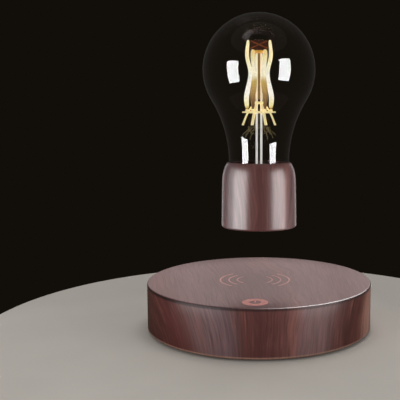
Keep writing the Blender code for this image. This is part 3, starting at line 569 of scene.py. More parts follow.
ROD_X = 1.25
DRILL_RADIUS = 0.9
stem_disc = turned("stem_disc_drilled", rounded(raised([
    (0, 28.6), (15.0, 28.6, 0.3), (15.0, 27.0, 0.2), (0, 27.0),
])), steps=96)
drill = turned("rod_drill", raised([
    (0, 30), (DRILL_RADIUS, 30), (DRILL_RADIUS, 25), (0, 25),
]), steps=32)
for one in spread(drill, [(-ROD_X, 0), (ROD_X, 0)]):
    cut_out(stem_disc, one)
stands_in(stem_disc, "bulb", "stem_disc")

# %% Support rods
ROD_RADIUS = 0.6
ROD_TOP = 92.9
ROD_FOOT = 14.4
rod = turned("support_rod", rounded(raised([
    (0, ROD_TOP), (ROD_RADIUS, ROD_TOP, 0.2), (ROD_RADIUS, 62.0), (ROD_RADIUS, 40.0),
    (ROD_RADIUS, ROD_FOOT, 0.1), (0, ROD_FOOT),
])), steps=32)
rods = []
for side, x in (("left", -ROD_X), ("right", ROD_X)):
    one = copied(rod, f"support_rod_{side}_wire", x=x)
    rods.append(stands_in(one, "bulb", f"support_rod_{side}"))
bpy.data.objects.remove(rod)

# %% [markdown]
# ## Filament strands
# Each strand is a strip of tiny LEDs under a coat of yellow phosphor silicone. Six of them stand in
# an hourglass round the rods: out at the foot, in at the waist, and out again. A strand could be a
# curve with a bevel, but its ends are pinched on to metal tails, so it is drawn here as a section
# that is extruded step by step along the hourglass and shrunk at both ends.

# %% The hourglass
STRAND_LOW = 63.9
TALL_TOP = 99.81
HUB_TOP = 94.31
HOURGLASS = [(0, 6.4), (0.13, 6.7), (0.5, 4.5), (0.8, 6.4), (1, 5.8)]


def read_off(marks, value, soft=False):
    """A value read off a list of (place, size) marks, straight or softly between them."""
    for (low, low_size), (high, high_size) in zip(marks, marks[1:]):
        if value <= high:
            part = (value - low) / (high - low)
            part = (1 - math.cos(math.pi * part)) / 2 if soft else part
            return low_size + (high_size - low_size) * part
    return marks[-1][1]


def height_share(height):
    """How far up the tall strands a height over the cap's bottom is, from 0 to 1."""
    return (height - STRAND_LOW) / (TALL_TOP - STRAND_LOW)


def hourglass_radius(height):
    """How far the middle of a strand is from the axis."""
    return read_off(HOURGLASS, height_share(height), soft=True)


print("waist radius", round(hourglass_radius(STRAND_LOW + (TALL_TOP - STRAND_LOW) / 2), 2), "mm")

# %% Strands
STRAND_WIDTH = 2.4
STRAND_DEPTH = 2.0
STRAND_STEPS = 64
SECTION_POINTS = 20
PINCH = [(0.0, 0.5), (0.3, 0.72), (0.9, 0.88), (2.4, 1.0)]
STOUT = [(0.0, 1.1), (0.15, 1.36), (0.35, 1.34), (0.52, 1.1), (0.8, 1.0), (1.0, 0.8)]
SLIM = [(0.0, 0.7), (0.08, 0.85), (0.25, 1.3), (0.52, 1.15), (0.8, 0.94), (1.0, 0.8)]


def girth(height, top):
    """How full a strand is: pinched at its ends, the tall ones stoutest in their lower bulge."""
    end = read_off(PINCH, min(height - STRAND_LOW, top - height))
    return end * read_off(STOUT if top == TALL_TOP else SLIM, height_share(height))


def strand(name, top):
    """One strand, at azimuth 0: a rounded square, pulled up step by step."""
    heights = [STRAND_LOW + d for d, _ in PINCH]
    step = (top - STRAND_LOW - 2 * PINCH[-1][0]) / STRAND_STEPS
    heights += [heights[-1] + step * i for i in range(1, STRAND_STEPS)]
    heights += [top - d for d, _ in reversed(PINCH)]
    piece = point_circle(SECTION_POINTS)
    size = girth(STRAND_LOW, top)
    for vertex in piece.data.vertices:
        angle = math.atan2(vertex.co.y, vertex.co.x)
        reach = (abs(math.cos(angle)) ** 3 + abs(math.sin(angle)) ** 3) ** (-1 / 3)
        across = hourglass_radius(heights[0]) + STRAND_DEPTH / 2 * reach * math.cos(angle) * size
        side = STRAND_WIDTH / 2 * reach * math.sin(angle) * size
        vertex.co = (across * MM, side * MM, (CAP_BOTTOM + heights[0]) * MM)
    bpy.ops.object.mode_set(mode="EDIT")
    bpy.ops.mesh.select_mode(type="FACE")
    bpy.ops.mesh.select_all(action="SELECT")
    for low, high in zip(heights, heights[1:]):
        out = hourglass_radius(high) - hourglass_radius(low)
        step = (out * MM, 0, (high - low) * MM)
        bpy.ops.mesh.extrude_region_move(TRANSFORM_OT_translate={"value": step})
        ratio = girth(high, top) / size
        size *= ratio
        if abs(ratio - 1) > 0.0001:
            here = (hourglass_radius(high) * MM, 0, (CAP_BOTTOM + high) * MM)
            bpy.ops.transform.resize(value=(ratio, ratio, 1), center_override=here)
    end_edit()
    bpy.ops.object.shade_smooth_by_angle(angle=SHARP)
    piece.name = name
    return piece


tall_strand = strand("tall_strand", TALL_TOP)
short_strand = strand("short_strand", HUB_TOP)
strands = []
for i in range(6):
    model = tall_strand if i in (0, 3) else short_strand
    one = copied(model, f"filament_strand_{i + 1}_coated", turn=FULL_TURN * i / 6)
    strands.append(stands_in(one, "bulb", f"filament_strand_{i + 1}"))
bpy.data.objects.remove(tall_strand)
bpy.data.objects.remove(short_strand)

# %% [markdown]
# ## Wires and stampings of the filament
# Two fine wires cross on a thin amber film between the tops of the tall strands. Under them a small
# gilt hub with four arms holds the short strands, and below all the strands an umbrella of ribs,
# a ring and a hub holds their feet. Wires are curves with a round bevel, made into meshes. Ribs are
# one edge that is extruded along the umbrella's line and then given a thickness.

# %% Crossed brace
BRACE_REACH = 4.45
BRACE_HIGH = 99.46
BRACE_LOW = 95.56
BRACE_WIRE = 0.35
BOW = 0.2
BOW_STEPS = 16


def wire(name, points, radius, cyclic=False):
    """A round wire through points in millimetres."""
    curve = bpy.data.curves.new(name, "CURVE")
    curve.dimensions = "3D"
    curve.bevel_depth = radius * MM
    curve.bevel_resolution = 3
    curve.use_fill_caps = True
    spline = curve.splines.new("POLY")
    spline.points.add(len(points) - 1)
    spline.use_cyclic_u = cyclic
    for point, (x, y, z) in zip(spline.points, points):
        point.co = (x * MM, y * MM, (CAP_BOTTOM + z) * MM, 1)
    piece = bpy.data.objects.new(name, curve)
    bpy.context.scene.collection.objects.link(piece)
    select_only(piece)
    bpy.ops.object.convert(target="MESH")
    bpy.ops.object.shade_smooth_by_angle(angle=SHARP)
    return bpy.context.object


def bowed(start, end, bow):
    """Points on a line that bows a little to the front or the back."""
    points = []
    for i in range(BOW_STEPS + 1):
        share = i / BOW_STEPS
        across = start[0] + (end[0] - start[0]) * share
        up = start[1] + (end[1] - start[1]) * share
        points.append((across, bow * math.sin(math.pi * share), up))
    return points


falling = bowed((-BRACE_REACH, BRACE_HIGH), (BRACE_REACH, BRACE_LOW), -BOW)
rising = bowed((-BRACE_REACH, BRACE_LOW), (BRACE_REACH, BRACE_HIGH), BOW)
brace_wires = [wire("brace_wire", line, BRACE_WIRE) for line in (falling, rising)]
brace = joined("filament_brace_wires", *brace_wires)
stands_in(brace, "bulb", "filament_brace")

# %% Amber film
# One cut sheet: a wide head behind the crossed wires, and a narrow tail between the rods.
FILM_THICKNESS = 0.1
FILM_HEAD = [
    (-4.6, 95.2), (-0.5, 95.0), (-0.5, 94.6), (0.5, 94.6), (0.5, 95.0), (4.6, 95.2), (4.6, 99.7),
    (-4.6, 99.7),
]
FILM_TAIL = [
    (-0.5, 69), (0, 68.6), (0.5, 69), (0.5, 76), (0.5, 93.0), (0, 93.0), (-0.5, 93.0), (-0.5, 76),
]


def flat_sheet(outline):
    """A flat face through (x, height) points, facing the front."""
    piece = point_circle(len(outline))
    for vertex, (x, z) in zip(piece.data.vertices, outline):
        vertex.co = Vector((x, 0, CAP_BOTTOM + z)) * MM
    return piece


film_sheet = joined("filament_amber_film", flat_sheet(FILM_HEAD), flat_sheet(FILM_TAIL))
applied(film_sheet, "SOLIDIFY", thickness=FILM_THICKNESS * MM, offset=0)
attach(film_sheet, "bulb")
report(film_sheet)

# %% Top hub
HUB_LOW = 93.21
ARM_HEIGHT = 93.76
ARM_MIDDLE = 3.3
hub = turned("filament_hub_arms", rounded(raised([
    (0, HUB_TOP), (2.6, HUB_TOP, 0.25), (2.6, HUB_LOW, 0.2), (0, HUB_LOW),
])), steps=64)
arms = []
for i in (1, 2, 4, 5):
    arm = shaped_cube(lambda x, y, z: (
        ARM_MIDDLE + 1.95 * x, 0.6 * y, CAP_BOTTOM + ARM_HEIGHT + 0.28 * z))
    applied(arm, "BEVEL", width=0.12 * MM, segments=2)
    arms.append(moved(arm, turn=FULL_TURN * i / 6))
joined("filament_hub_arms", hub, *arms)
stands_in(hub, "bulb", "filament_hub")

# %% Spider's ribs
RING_HEIGHT = 62.0
RING_RADIUS = 6.5
RIB_PATH = [
    (2.4, 67.1), (3.0, 66.7), (3.9, 65.5), (5.1, 63.8), (6.3, 62.1), (7.3, 60.2), (8.4, 57.7),
    (9.5, 55.0),
]
RIB_HALF_WIDTH = 0.68
RIB_THICKNESS = 0.5
RIB_COUNT = 8

bpy.ops.object.select_all(action="DESELECT")
bpy.ops.mesh.primitive_plane_add(size=MM)
rib = bpy.context.object
(start_x, start_z), (next_x, next_z) = RIB_PATH[:2]
for vertex in rib.data.vertices:
    x, z = (start_x, start_z) if vertex.co.x < 0 else (next_x, next_z)
    side = math.copysign(RIB_HALF_WIDTH, vertex.co.y)
    vertex.select = vertex.co.x > 0
    vertex.co = Vector((x, side, CAP_BOTTOM + z)) * MM
for edge in rib.data.edges:
    edge.select = all(rib.data.vertices[i].select for i in edge.vertices)
for face in rib.data.polygons:
    face.select = False
bpy.ops.object.mode_set(mode="EDIT")
bpy.ops.mesh.select_mode(type="EDGE")
for (x, z), (to_x, to_z) in zip(RIB_PATH[1:], RIB_PATH[2:]):
    step = ((to_x - x) * MM, 0, (to_z - z) * MM)
    bpy.ops.mesh.extrude_region_move(TRANSFORM_OT_translate={"value": step})
end_edit()
applied(rib, "SOLIDIFY", thickness=RIB_THICKNESS * MM, offset=0)
applied(rib, "BEVEL", width=0.1 * MM, segments=2)
bpy.ops.object.shade_smooth_by_angle(angle=SHARP)
turns = [FULL_TURN * (i + 0.5) / RIB_COUNT for i in range(RIB_COUNT)]
ribs = [copied(rib, "rib", turn=turn) for turn in turns]
bpy.data.objects.remove(rib)
print("ribs:", len(ribs))

# %% Spider's ring, hub and ends
ring = wire("ring", [(x, y, RING_HEIGHT) for x, y in around(RING_RADIUS, 96)], 0.5, cyclic=True)
spider_hub = turned("spider_hub", rounded(raised([
    (2.2, 67.6, 0.15), (3.05, 67.6, 0.25), (3.05, 66.4, 0.25), (2.2, 66.4, 0.15),
])), steps=48)
stub = turned("stub", rounded(raised([
    (0, 63.6), (0.8, 63.6, 0.2), (0.8, 61.9, 0.2), (0, 61.9),
])), steps=24)
stubs = spread(stub, around(RING_RADIUS, 6))
TAB_WIRE = 0.42
tabs = []
for side in (-1, 1):
    ends = [(side * 6.4, 0, RING_HEIGHT), (side * 9.0, 0, RING_HEIGHT)]
    tabs.append(wire("tab", ends, TAB_WIRE))
spider = joined("filament_spider_ribs", spider_hub, ring, *ribs, *stubs, *tabs)
stands_in(spider, "bulb", "filament_spider")

# %% [markdown]
# ## Colours and nodes
# Colours are written as on a swatch, in sRGB, and turned to the linear values that the shader wants.
# Each material is then built node by node with one small function, which gives back the outputs for
# the next node to take. A constant is set on the shader itself, so that it also reaches an exported
# model. Patterns are measured in millimetres on the piece.

# %% Colour and node tools
GAMMA_KNEE = 0.04045


def linear(code):
    """An sRGB hex colour as linear values."""
    channels = [int(code[i:i + 2], 16) / 255 for i in (1, 3, 5)]
    values = [c / 12.92 if c <= GAMMA_KNEE else ((c + 0.055) / 1.055) ** 2.4 for c in channels]
    return (*values, 1.0)


def add_node(tree, kind, inputs=(), stops=(), **settings):
    """Adds a node and gives back its outputs. Inputs, in order or named, are values or outputs."""
    node = tree.nodes.new("ShaderNode" + kind)
    for name, value in settings.items():
        setattr(node, name, value)
    for i, (position, colour) in enumerate(stops):
        stop = node.color_ramp.elements[i] if i < 2 else node.color_ramp.elements.new(1.0)
        stop.position = position
        stop.color = linear(colour)
    for name, value in inputs.items() if isinstance(inputs, dict) else enumerate(inputs):
        if isinstance(value, bpy.types.NodeSocket):
            tree.links.new(value, node.inputs[name])
        else:
            node.inputs[name].default_value = value
    return node.outputs


print("mid grey", [round(value, 3) for value in linear("#808080")])

# %% A finish
# A Mix node has its factor at input 0 and its two colours at 6 and 7, and its colour at output 2.
class Finish:
    """A material while it is being built."""

    def __init__(self, name, **values):
        self.material = bpy.data.materials.new(name)
        self.material.use_nodes = True
        self.tree = self.material.node_tree
        self.shader = self.tree.nodes["Principled BSDF"]
        self.add = functools.partial(add_node, self.tree)
        self.give(**values)
        place = self.add("TexCoord")["Object"]
        self.in_mm = self.add("VectorMath", (place, (1 / MM,) * 3), operation="MULTIPLY")[0]

    def give(self, **values):
        """Sets sockets of the shader, or links them. A space in a socket's name is written as _."""
        for name, value in values.items():
            socket = self.shader.inputs[name.replace("_", " ")]
            if isinstance(value, bpy.types.NodeSocket):
                self.tree.links.new(value, socket)
            else:
                socket.default_value = value

    def dress(self, *pieces):
        """Puts the material on new pieces and in the slots of CAD nodes."""
        for piece in pieces:
            if not piece.data.materials:
                piece.data.materials.append(self.material)
            for slot in piece.material_slots:
                slot.material = self.material
        print(f"{self.material.name}: {len(pieces)} pieces, {len(self.tree.nodes)} nodes")


def mottle(finish, size, detail=2.0, roughness=0.5, stretch=(1, 1, 1), place=None):
    """Soft blobs about size millimetres across, and longer where stretched, from 0 to 1."""
    add = finish.add
    scale = tuple(1 / (size * part) for part in stretch)
    place = finish.in_mm if place is None else place
    place = add("VectorMath", (place, scale), operation="MULTIPLY")[0]
    values = {"Vector": place, "Scale": 1.0, "Detail": detail, "Roughness": roughness}
    return add("TexNoise", values)["Fac"]


# %% [markdown]
# ## Wood film
# The base and the cap are ABS covered with a printed rosewood film under a satin lacquer. The print
# has broad bands of red brown and grey brown, and fine darker and pinker streaks along the grain. The
# grey brown bands are partly the print and partly a painted sheen, and a light band at the right edge
# is a painted highlight.
# One coordinate across the grain drives all of it: the bands are a ramp along it, and the streaks
# are noise that is squeezed across it. Down the side the film was stretched as it was pulled over
# the rim, so its lines draw together towards the foot. On the lid they run from back to front, and
# wind and lean a little.

# %% Across the grain
WAVE = 9.0
WAVE_SHIFT = -3.7
LID_RIPPLE = 2.6
SIDE_RIPPLE = 0.8
PULL = 0.009
PULL_SKEW = 0.0001
LID_TURN = 0.11
LID_TURN_FADE = 0.0028


def across_grain(film, x, y, depth, radius):
    """How far across the grain a point is, in millimetres."""
    add = film.add
    wave = mottle(film, 34, stretch=(1, 1.7, 1.4))
    wave = add("Math", (wave, WAVE, WAVE_SHIFT), operation="MULTIPLY_ADD")[0]
    ripple = mottle(film, 7, stretch=(1, 1.6, 1.2))
    ripple = add("Math", (ripple, 0.5), operation="SUBTRACT")[0]
    ripple_size = add("MapRange", (depth, 0.0, 3.0, LID_RIPPLE, SIDE_RIPPLE))[0]
    wave = add("Math", (ripple, ripple_size, wave), operation="MULTIPLY_ADD")[0]

    # Down the side the lines draw together, a little less on the right.
    pull = add("Math", (x, PULL_SKEW, -PULL), operation="MULTIPLY_ADD")[0]
    pull = add("Math", (pull, x), operation="MULTIPLY")[0]
    pull = add("Math", (pull, depth), operation="MULTIPLY")[0]

    # How far the rim is in front of the middle, straight before the point.
    rim = add("Math", (x, x), operation="MULTIPLY")[0]
    rim = add("Math", (radius**2, rim), operation="SUBTRACT")[0]
    rim = add("Math", (rim, 0.0), operation="MAXIMUM")[0]
    rim = add("Math", (rim,), operation="SQRT")[0]

    # The right half of the print lies a little further to the right.
    right_half = add("Math", (x, 0.04, 0.2), operation="MULTIPLY_ADD", use_clamp=True)[0]
    shift = add("Math", (rim, 0.0013, -0.18), operation="MULTIPLY_ADD")[0]
    shift = add("Math", (right_half, shift), operation="MULTIPLY")[0]
    shift = add("Math", (shift, rim), operation="MULTIPLY")[0]

    # On the lid the lines lean, most on the left.
    lean = add(
        "Math", (x, -LID_TURN_FADE, LID_TURN), operation="MULTIPLY_ADD", use_clamp=True)[0]
    behind_rim = add("Math", (y, rim), operation="ADD")[0]
    slant = add("Math", (lean, behind_rim, shift), operation="MULTIPLY_ADD")[0]

    across = add("Math", (x, slant), operation="ADD")[0]
    across = add("Math", (across, wave), operation="ADD")[0]
    return add("Math", (across, pull), operation="SUBTRACT")[0]


print("lines lean by up to", round(math.degrees(math.atan(LID_TURN)), 1), "degrees on the lid")

# %% Wood film
# Bands: millimetres across the grain, and colour. The grey brown bands from -35 to -13 and from 17 to
# 29 mm are partly the print and partly a painted sheen, and the two light ones at the right end are a
# painted highlight. Streaks: width and length in millimetres, the two noise levels between which they
# fade in, strength and colour.
BAND_REACH = 62
BANDS_AND_PAINTED_SHEEN = [
    (-62, "#4a2622"), (-50, "#572b28"), (-42, "#5a3431"), (-35, "#664b4a"), (-27, "#6c5253"),
    (-18, "#634c4f"), (-13, "#5a4242"), (-8, "#57332f"), (0, "#4e2c2a"), (8, "#55322f"), (12, "#613c38"),
    (14.5, "#784e48"), (17, "#6c5050"), (20, "#6e5453"), (29, "#6c5251"), (37, "#563431"),
    (45, "#452420"), (51, "#573029"), (55.5, "#92675b"), (59, "#aa8275"),
]
STREAKS = [(1.2, 22, 0.5, 0.68, 0.42, "#2a1614"), (1.4, 20, 0.52, 0.7, 0.34, "#8f5850")]
# A painted sheen on the lid: a greyer tone, of which the lid takes this share, and all of it at its
# right edge.
LID_PAINTED_SHEEN_TONE = "#604949"
LID_PAINTED_SHEEN_SHARE = 0.34
# A painted shade: a dark line just under the rim, as a ramp over the first millimetres of the side. A
# painted highlight: a light line along the foot.
RIM_SHADE_REACH = 2.4
RIM_PAINTED_SHADE = [(0.04, "#ffffff"), (0.16, "#828282"), (0.5, "#8c8c8c"), (0.8, "#ffffff")]
FOOT_PAINTED_HIGHLIGHT = "#8e6c5e"


def painted_rim_shade_and_foot_highlight(film, colour, x, z, depth):
    """Painted shade under the rim, darkest on the left, and a painted highlight at the foot."""
    add = film.add
    line = add("MapRange", (depth, 0.0, RIM_SHADE_REACH, 0.0, 1.0))[0]
    line = add("ValToRGB", (line,), RIM_PAINTED_SHADE)[0]
    left = add("MapRange", (x, -25, 5, 1.0, 0.7))[0]
    inputs = {0: left, 6: colour, 7: line}
    colour = add("Mix", inputs, data_type="RGBA", blend_type="MULTIPLY")[2]
    # The painted highlight along the foot.
    foot = add("MapRange", (z, SHELL_BOTTOM + 1.0, SHELL_BOTTOM + 1.4, 0.8, 0.0))[0]
    return add("Mix", {0: foot, 6: colour, 7: linear(FOOT_PAINTED_HIGHLIGHT)}, data_type="RGBA")[2]


def wood_film(name, top, radius, stretch, with_painted_rim_shade):
    """Rosewood print on plastic, satin lacquered: bands partly of painted sheen, fine grain, streaks."""
    film = Finish(name, Roughness=0.34, Coat_Weight=0.6, Coat_Roughness=0.22)
    add = film.add
    x, y, z = add("SeparateXYZ", (film.in_mm,))
    depth = add("Math", (top, z), operation="SUBTRACT")[0]
    depth = add("Math", (depth, 0.0), operation="MAXIMUM")[0]
    depth = add("Math", (depth, stretch), operation="MULTIPLY")[0]
    across = across_grain(film, x, y, depth, radius)

    # On the lid the colour is drawn towards a greyer tone, a painted sheen for the lacquer's
    # reflection, so the bands show less there and not at all at its right edge.
    share = add("Math", (across, 0.5 / BAND_REACH, 0.5), operation="MULTIPLY_ADD")[0]
    stops = [(mm / BAND_REACH / 2 + 0.5, code) for mm, code in BANDS_AND_PAINTED_SHEEN]
    colour = add("ValToRGB", (share,), stops)[0]
    even = add("MapRange", (x, 44, 54, LID_PAINTED_SHEEN_SHARE, 1.0))[0]
    even = add("MapRange", (depth, 0.0, 2.0, even, 0.0))[0]
    colour = add("Mix", {0: even, 6: colour, 7: linear(LID_PAINTED_SHEEN_TONE)}, data_type="RGBA")[2]

    along = add("Math", (y, z), operation="ADD")[0]
    place = add("CombineXYZ", (across, along))[0]
    clear = add("MapRange", (depth, 0.0, 2.0, 0.85, 1.0))[0]
    for width, length, low, high, strength, ink in STREAKS:
        streak = mottle(film, width, 3.0, 0.6, (1, length, 1), place)
        streak = add("MapRange", (streak, low, high, 0.0, strength))[0]
        streak = add("Math", (streak, clear), operation="MULTIPLY")[0]
        colour = add("Mix", {0: streak, 6: colour, 7: linear(ink)}, data_type="RGBA")[2]
    if with_painted_rim_shade:
        colour = painted_rim_shade_and_foot_highlight(film, colour, x, z, depth)

    grain = mottle(film, 0.8, 3.0, 0.6, (1, 45, 1), place)
    light = add("MapRange", (grain, 0.3, 0.7, 0.76, 1.27))[0]
    film.give(
        Base_Color=add("VectorMath", {0: colour, "Scale": light}, operation="SCALE")[0],
        Roughness=add("MapRange", (grain, 0.3, 0.7, 0.38, 0.3))[0],
        Normal=add("Bump", {"Height": grain, "Distance": 0.01 * MM})[0],
    )
    return film


wood_film("rosewood_film_base", LID_TOP, BASE_RADIUS, 1.0, True).dress(base_shell)
wood_film("rosewood_film_cap", CAP_BOTTOM + CAP_TOP, SHOULDER_OUT, 0.7, False).dress(cap_shell)

# %% [markdown]
# ## Inks, plastics and rubber
# The marks are coral screen ink, whose cover is a little uneven over the satin film. The covers are
# black ABS from a spark-eroded mould, whose fine grain shows as a soft sheen; its grit, about 0.15
# mm, is drawn at 0.35 mm so that it shows. Rubber is duller, with a coarser skin. All of these are
# specks between two near shades, and the same specks vary the gloss and dent the skin.

# %% Inks
def speckled(name, low, high, size, gloss=None, dent=0.0, cloud=None, detail=3.0,
             ends=(0.35, 0.65), **values):
    """A finish in specks of two shades. They set its roughness, between the two of gloss, and dent it.

    Where a cloud is given, the shade follows a wider noise of that size.
    """
    finish = Finish(name, **values)
    speck = mottle(finish, size, detail)
    shade = speck if cloud is None else mottle(finish, cloud)
    stops = list(zip(ends, (low, high)))
    finish.give(Base_Color=finish.add("ValToRGB", (shade,), stops)[0])
    if gloss:
        finish.give(Roughness=finish.add("MapRange", (speck, 0.3, 0.7, *gloss))[0])
    if dent:
        relief = {"Height": speck, "Distance": dent * MM}
        finish.give(Normal=finish.add("Bump", relief)[0])
    return finish


over_satin = {"Roughness": 0.36, "Coat_Weight": 0.5, "Coat_Roughness": 0.25}
speckled("coral_ink_thin", "#cc857b", "#e8b0a6", 1.6, dent=0.01, **over_satin).dress(power_arcs)
speckled("coral_ink_full", "#b85f56", "#d58a80", 1.6, dent=0.01, **over_satin).dress(key_mark)


# %% Plastic and rubber
def cad(*names):
    """The CAD nodes of these names, which keep their own solids."""
    return [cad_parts[name] for name in names]


# A mould leaves dents 0.02 mm deep, and the shade varies in clouds 14 mm across.
moulded = {"dent": 0.02, "cloud": 14}
black_abs = speckled("black_abs_eroded", "#151517", "#1b1b1e", 0.35, (0.39, 0.51), **moulded)
black_abs.dress(bottom_cover, jack, cap_cover, stem_disc)
rubber = speckled("black_rubber_moulded", "#101010", "#171716", 0.5, (0.74, 0.86), **moulded)
rubber.dress(*feet)
bobbins = [f"electromagnet_bobbin_{i}" for i in (1, 2, 3, 4)]
grey_abs = speckled("grey_abs_eroded", "#8f8f91", "#9c9c9e", 0.35, (0.44, 0.56), **moulded)
grey_abs.dress(neck_collar, *cad("coil_frame", "magnet_holder", *bobbins))

# %% [markdown]
# ## Metals
# Zinc plating has a faint blue spangle, a drawn aluminium can is pale and even, nickel is warmer and
# smoother, and the gilt stampings stand so near the filament that they are washed in its light. That
# wash is added as a weak glow of their own, since the real one comes from light that bounces many
# times between strand and metal. The top hub is a deeper gold than the spider, because the strands
# are dim there.

# %% Plated metals
zinc = speckled("zinc_plating", "#b3b6bd", "#cbccd2", 0.8, (0.24, 0.38), Metallic=1.0)
zinc.dress(pin, *cad("touch_spring"), *screws)
can = speckled("aluminium_can_drawn", "#bfc0c3", "#cfd0d3", 1.5, (0.26, 0.4), Metallic=1.0)
can.dress(*cad("supply_capacitor", "receiver_capacitor"))
nickel = speckled("nickel_magnet_plating", "#c2beb4", "#cdc9c0", 2.0, (0.18, 0.32), Metallic=1.0)
nickel.dress(*cad("float_magnet"))
for name, low, high, glow, strength, stamping in (
        ("gilt_spring_steel", "#e6c67e", "#f1d795", "#fbeab2", 0.66, spider),
        ("gilt_spring_steel_top", "#c8922c", "#e0ad48", "#ecba5c", 0.4, hub)):
    gilt = speckled(name, low, high, 1.0, (0.26, 0.4), Metallic=1.0)
    gilt.give(Emission_Color=linear(glow), Emission_Strength=strength)
    gilt.dress(stamping)

# %% Rods
# The rods glow a little, a painted light that stands in for the light of the strands and lamps,
# which the glass keeps off them. This painted light is warmer between the strands than in the neck,
# and so is their colour. Their draw lines run along them.
drawn = Finish("nickel_rod_painted_glow", Metallic=1.0, Emission_Strength=0.75)
height = drawn.add("SeparateXYZ", (drawn.in_mm,))["Z"]
ends = (height, CAP_BOTTOM + 60, CAP_BOTTOM + 64, 0.0, 1.0)
near_strands = drawn.add("MapRange", ends)[0]
for socket, below, between in (
        ("Base_Color", "#cfcbc4", "#f0dcb4"), ("Emission_Color", "#d2d0cb", "#eadcc2")):
    tones = {0: near_strands, 6: linear(below), 7: linear(between)}
    drawn.give(**{socket: drawn.add("Mix", tones, data_type="RGBA")[2]})
lines = mottle(drawn, 0.25, stretch=(1, 1, 30))
drawn.give(Roughness=drawn.add("MapRange", (lines, 0.3, 0.7, 0.2, 0.32))[0])
drawn.dress(*rods)

# %% [markdown]
# ## Copper, ferrite and boards
# These stay inside, yet each gets the finish of the real one. A winding is wire beside wire, 0.4 mm
# thick: a wave along its height shows the turns. Ferrite is a sooty fired ceramic. A board is green
# solder mask over a faint weave of glass cloth, and a chip is matt epoxy.

# %% Windings
WIRE_PITCH = 0.4
winding = Finish("enamelled_copper_winding", Metallic=1.0, Roughness=0.35)
height = winding.add("SeparateXYZ", (winding.in_mm,))["Z"]
turns = winding.add("Math", (height, FULL_TURN / WIRE_PITCH), operation="MULTIPLY")[0]
turns = winding.add("Math", (turns,), operation="SINE")[0]
shade = winding.add("MapRange", (turns, -1.0, 1.0, 0.0, 1.0))[0]
winding.give(
    Base_Color=winding.add("ValToRGB", (shade,), [(0.0, "#6e2c14"), (0.8, "#c26a3a")])[0],
    Normal=winding.add("Bump", {"Height": shade, "Distance": 0.12 * MM})[0],
)
small_coils = [f"electromagnet_winding_{i}" for i in (1, 2, 3, 4)]
winding.dress(*cad("transmitter_coil", "receiver_coil", *small_coils))

# %% Ferrite
ferrite = speckled(
    "fired_ferrite", "#2c2c2e", "#404043", 0.6, (0.5, 0.7), dent=0.03, detail=4.0, ends=(0.3, 0.7))
ferrite.dress(*cad("ring_magnet", "transmitter_ferrite", "receiver_ferrite", "power_inductor"))

# %% Boards and chips
board = Finish("green_solder_mask", Roughness=0.35)
cloth = board.add("TexChecker", {"Vector": board.in_mm, "Scale": 1.4})["Fac"]
greens = {0: cloth, 6: linear("#0e4a2a"), 7: linear("#115431")}
board.give(Base_Color=board.add("Mix", greens, data_type="RGBA")[2])
board.dress(*cad("main_board", "sensor_board", "receiver_board"))
chip_words = ("_chip", "hall_sensor")
chips = [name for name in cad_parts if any(word in name for word in chip_words)]
epoxy = speckled("chip_epoxy", "#1d1d1f", "#242427", 0.3, (0.44, 0.56), **moulded)
epoxy.dress(*cad(*chips))

# %% [markdown]
# ## Glass and filament
# The glass is clear soda-lime, with the light bent at both sides of its wall. The strands are yellow
# silicone that glows: the tall pair is warm at its top and white below, and the short ones are white
# to the waist and fall off to a dim gold at the foot, where their chips are spaced out. All stay just
# under white, so that their beads still show. The X at the top is enamelled copper on an amber
# polyimide film.

# %% Glass
glass = Finish("soda_lime_glass", Base_Color=linear("#ffffff"), Roughness=0.0, IOR=1.5)
glass.give(Transmission_Weight=1.0)
glass.dress(bulb_glass)


# %% Strands
def glowing(name, stops, top):
    """Phosphor silicone whose light and colour change with height, from the foot to the top."""
    finish = Finish(name, Roughness=0.45, Emission_Strength=1.0)
    add = finish.add
    height = add("SeparateXYZ", (finish.in_mm,))["Z"]
    ends = (height, CAP_BOTTOM + STRAND_LOW, CAP_BOTTOM + top, 0.0, 1.0)
    share = add("MapRange", ends)[0]
    glow = add("ValToRGB", (share,), stops)[0]
    beads = mottle(finish, 0.9, stretch=(1, 1, 0.6))
    beads = add("MapRange", (beads, 0.3, 0.7, 0.84, 1.16))[0]
    silicone = [(0.0, "#5a3c14"), (0.5, "#8c7648"), (1.0, "#d8c48c")]
    finish.give(
        Emission_Color=add("VectorMath", {0: glow, "Scale": beads}, operation="SCALE")[0],
        Base_Color=add("ValToRGB", (share,), silicone)[0],
    )
    return finish


tall_glow = glowing("phosphor_silicone_tall", [
    (0.0, "#b99a48"), (0.05, "#ece0a0"), (0.22, "#f3f1ea"), (0.36, "#eaeae4"), (0.5, "#e4e5dc"),
    (0.61, "#dddcc0"), (0.73, "#d8cfa4"), (0.85, "#d3c8a2"), (1.0, "#cfc29a"),
], TALL_TOP)
short_glow = glowing("phosphor_silicone_short", [
    (0.0, "#3c260c"), (0.15, "#5e3d14"), (0.3, "#8e7038"), (0.46, "#a08640"), (0.57, "#d6d4c0"),
    (0.72, "#c8c6b8"), (0.86, "#aca67e"), (0.94, "#a08a52"), (1.0, "#96743a"),
], HUB_TOP)
tall_glow.dress(strands[0], strands[3])
short_glow.dress(*strands[1:3], *strands[4:])

# %% Brace and amber film
# The copper glows a little: painted light from the strands beside it.
copper = speckled(
    "enamelled_copper_brace_painted_glow", "#7c4a28", "#955a34", 0.8, detail=2.0, ends=(0.3, 0.7),
    Metallic=1.0, Roughness=0.35, Emission_Color=linear("#8a5a38"), Emission_Strength=0.25)
copper.dress(brace)

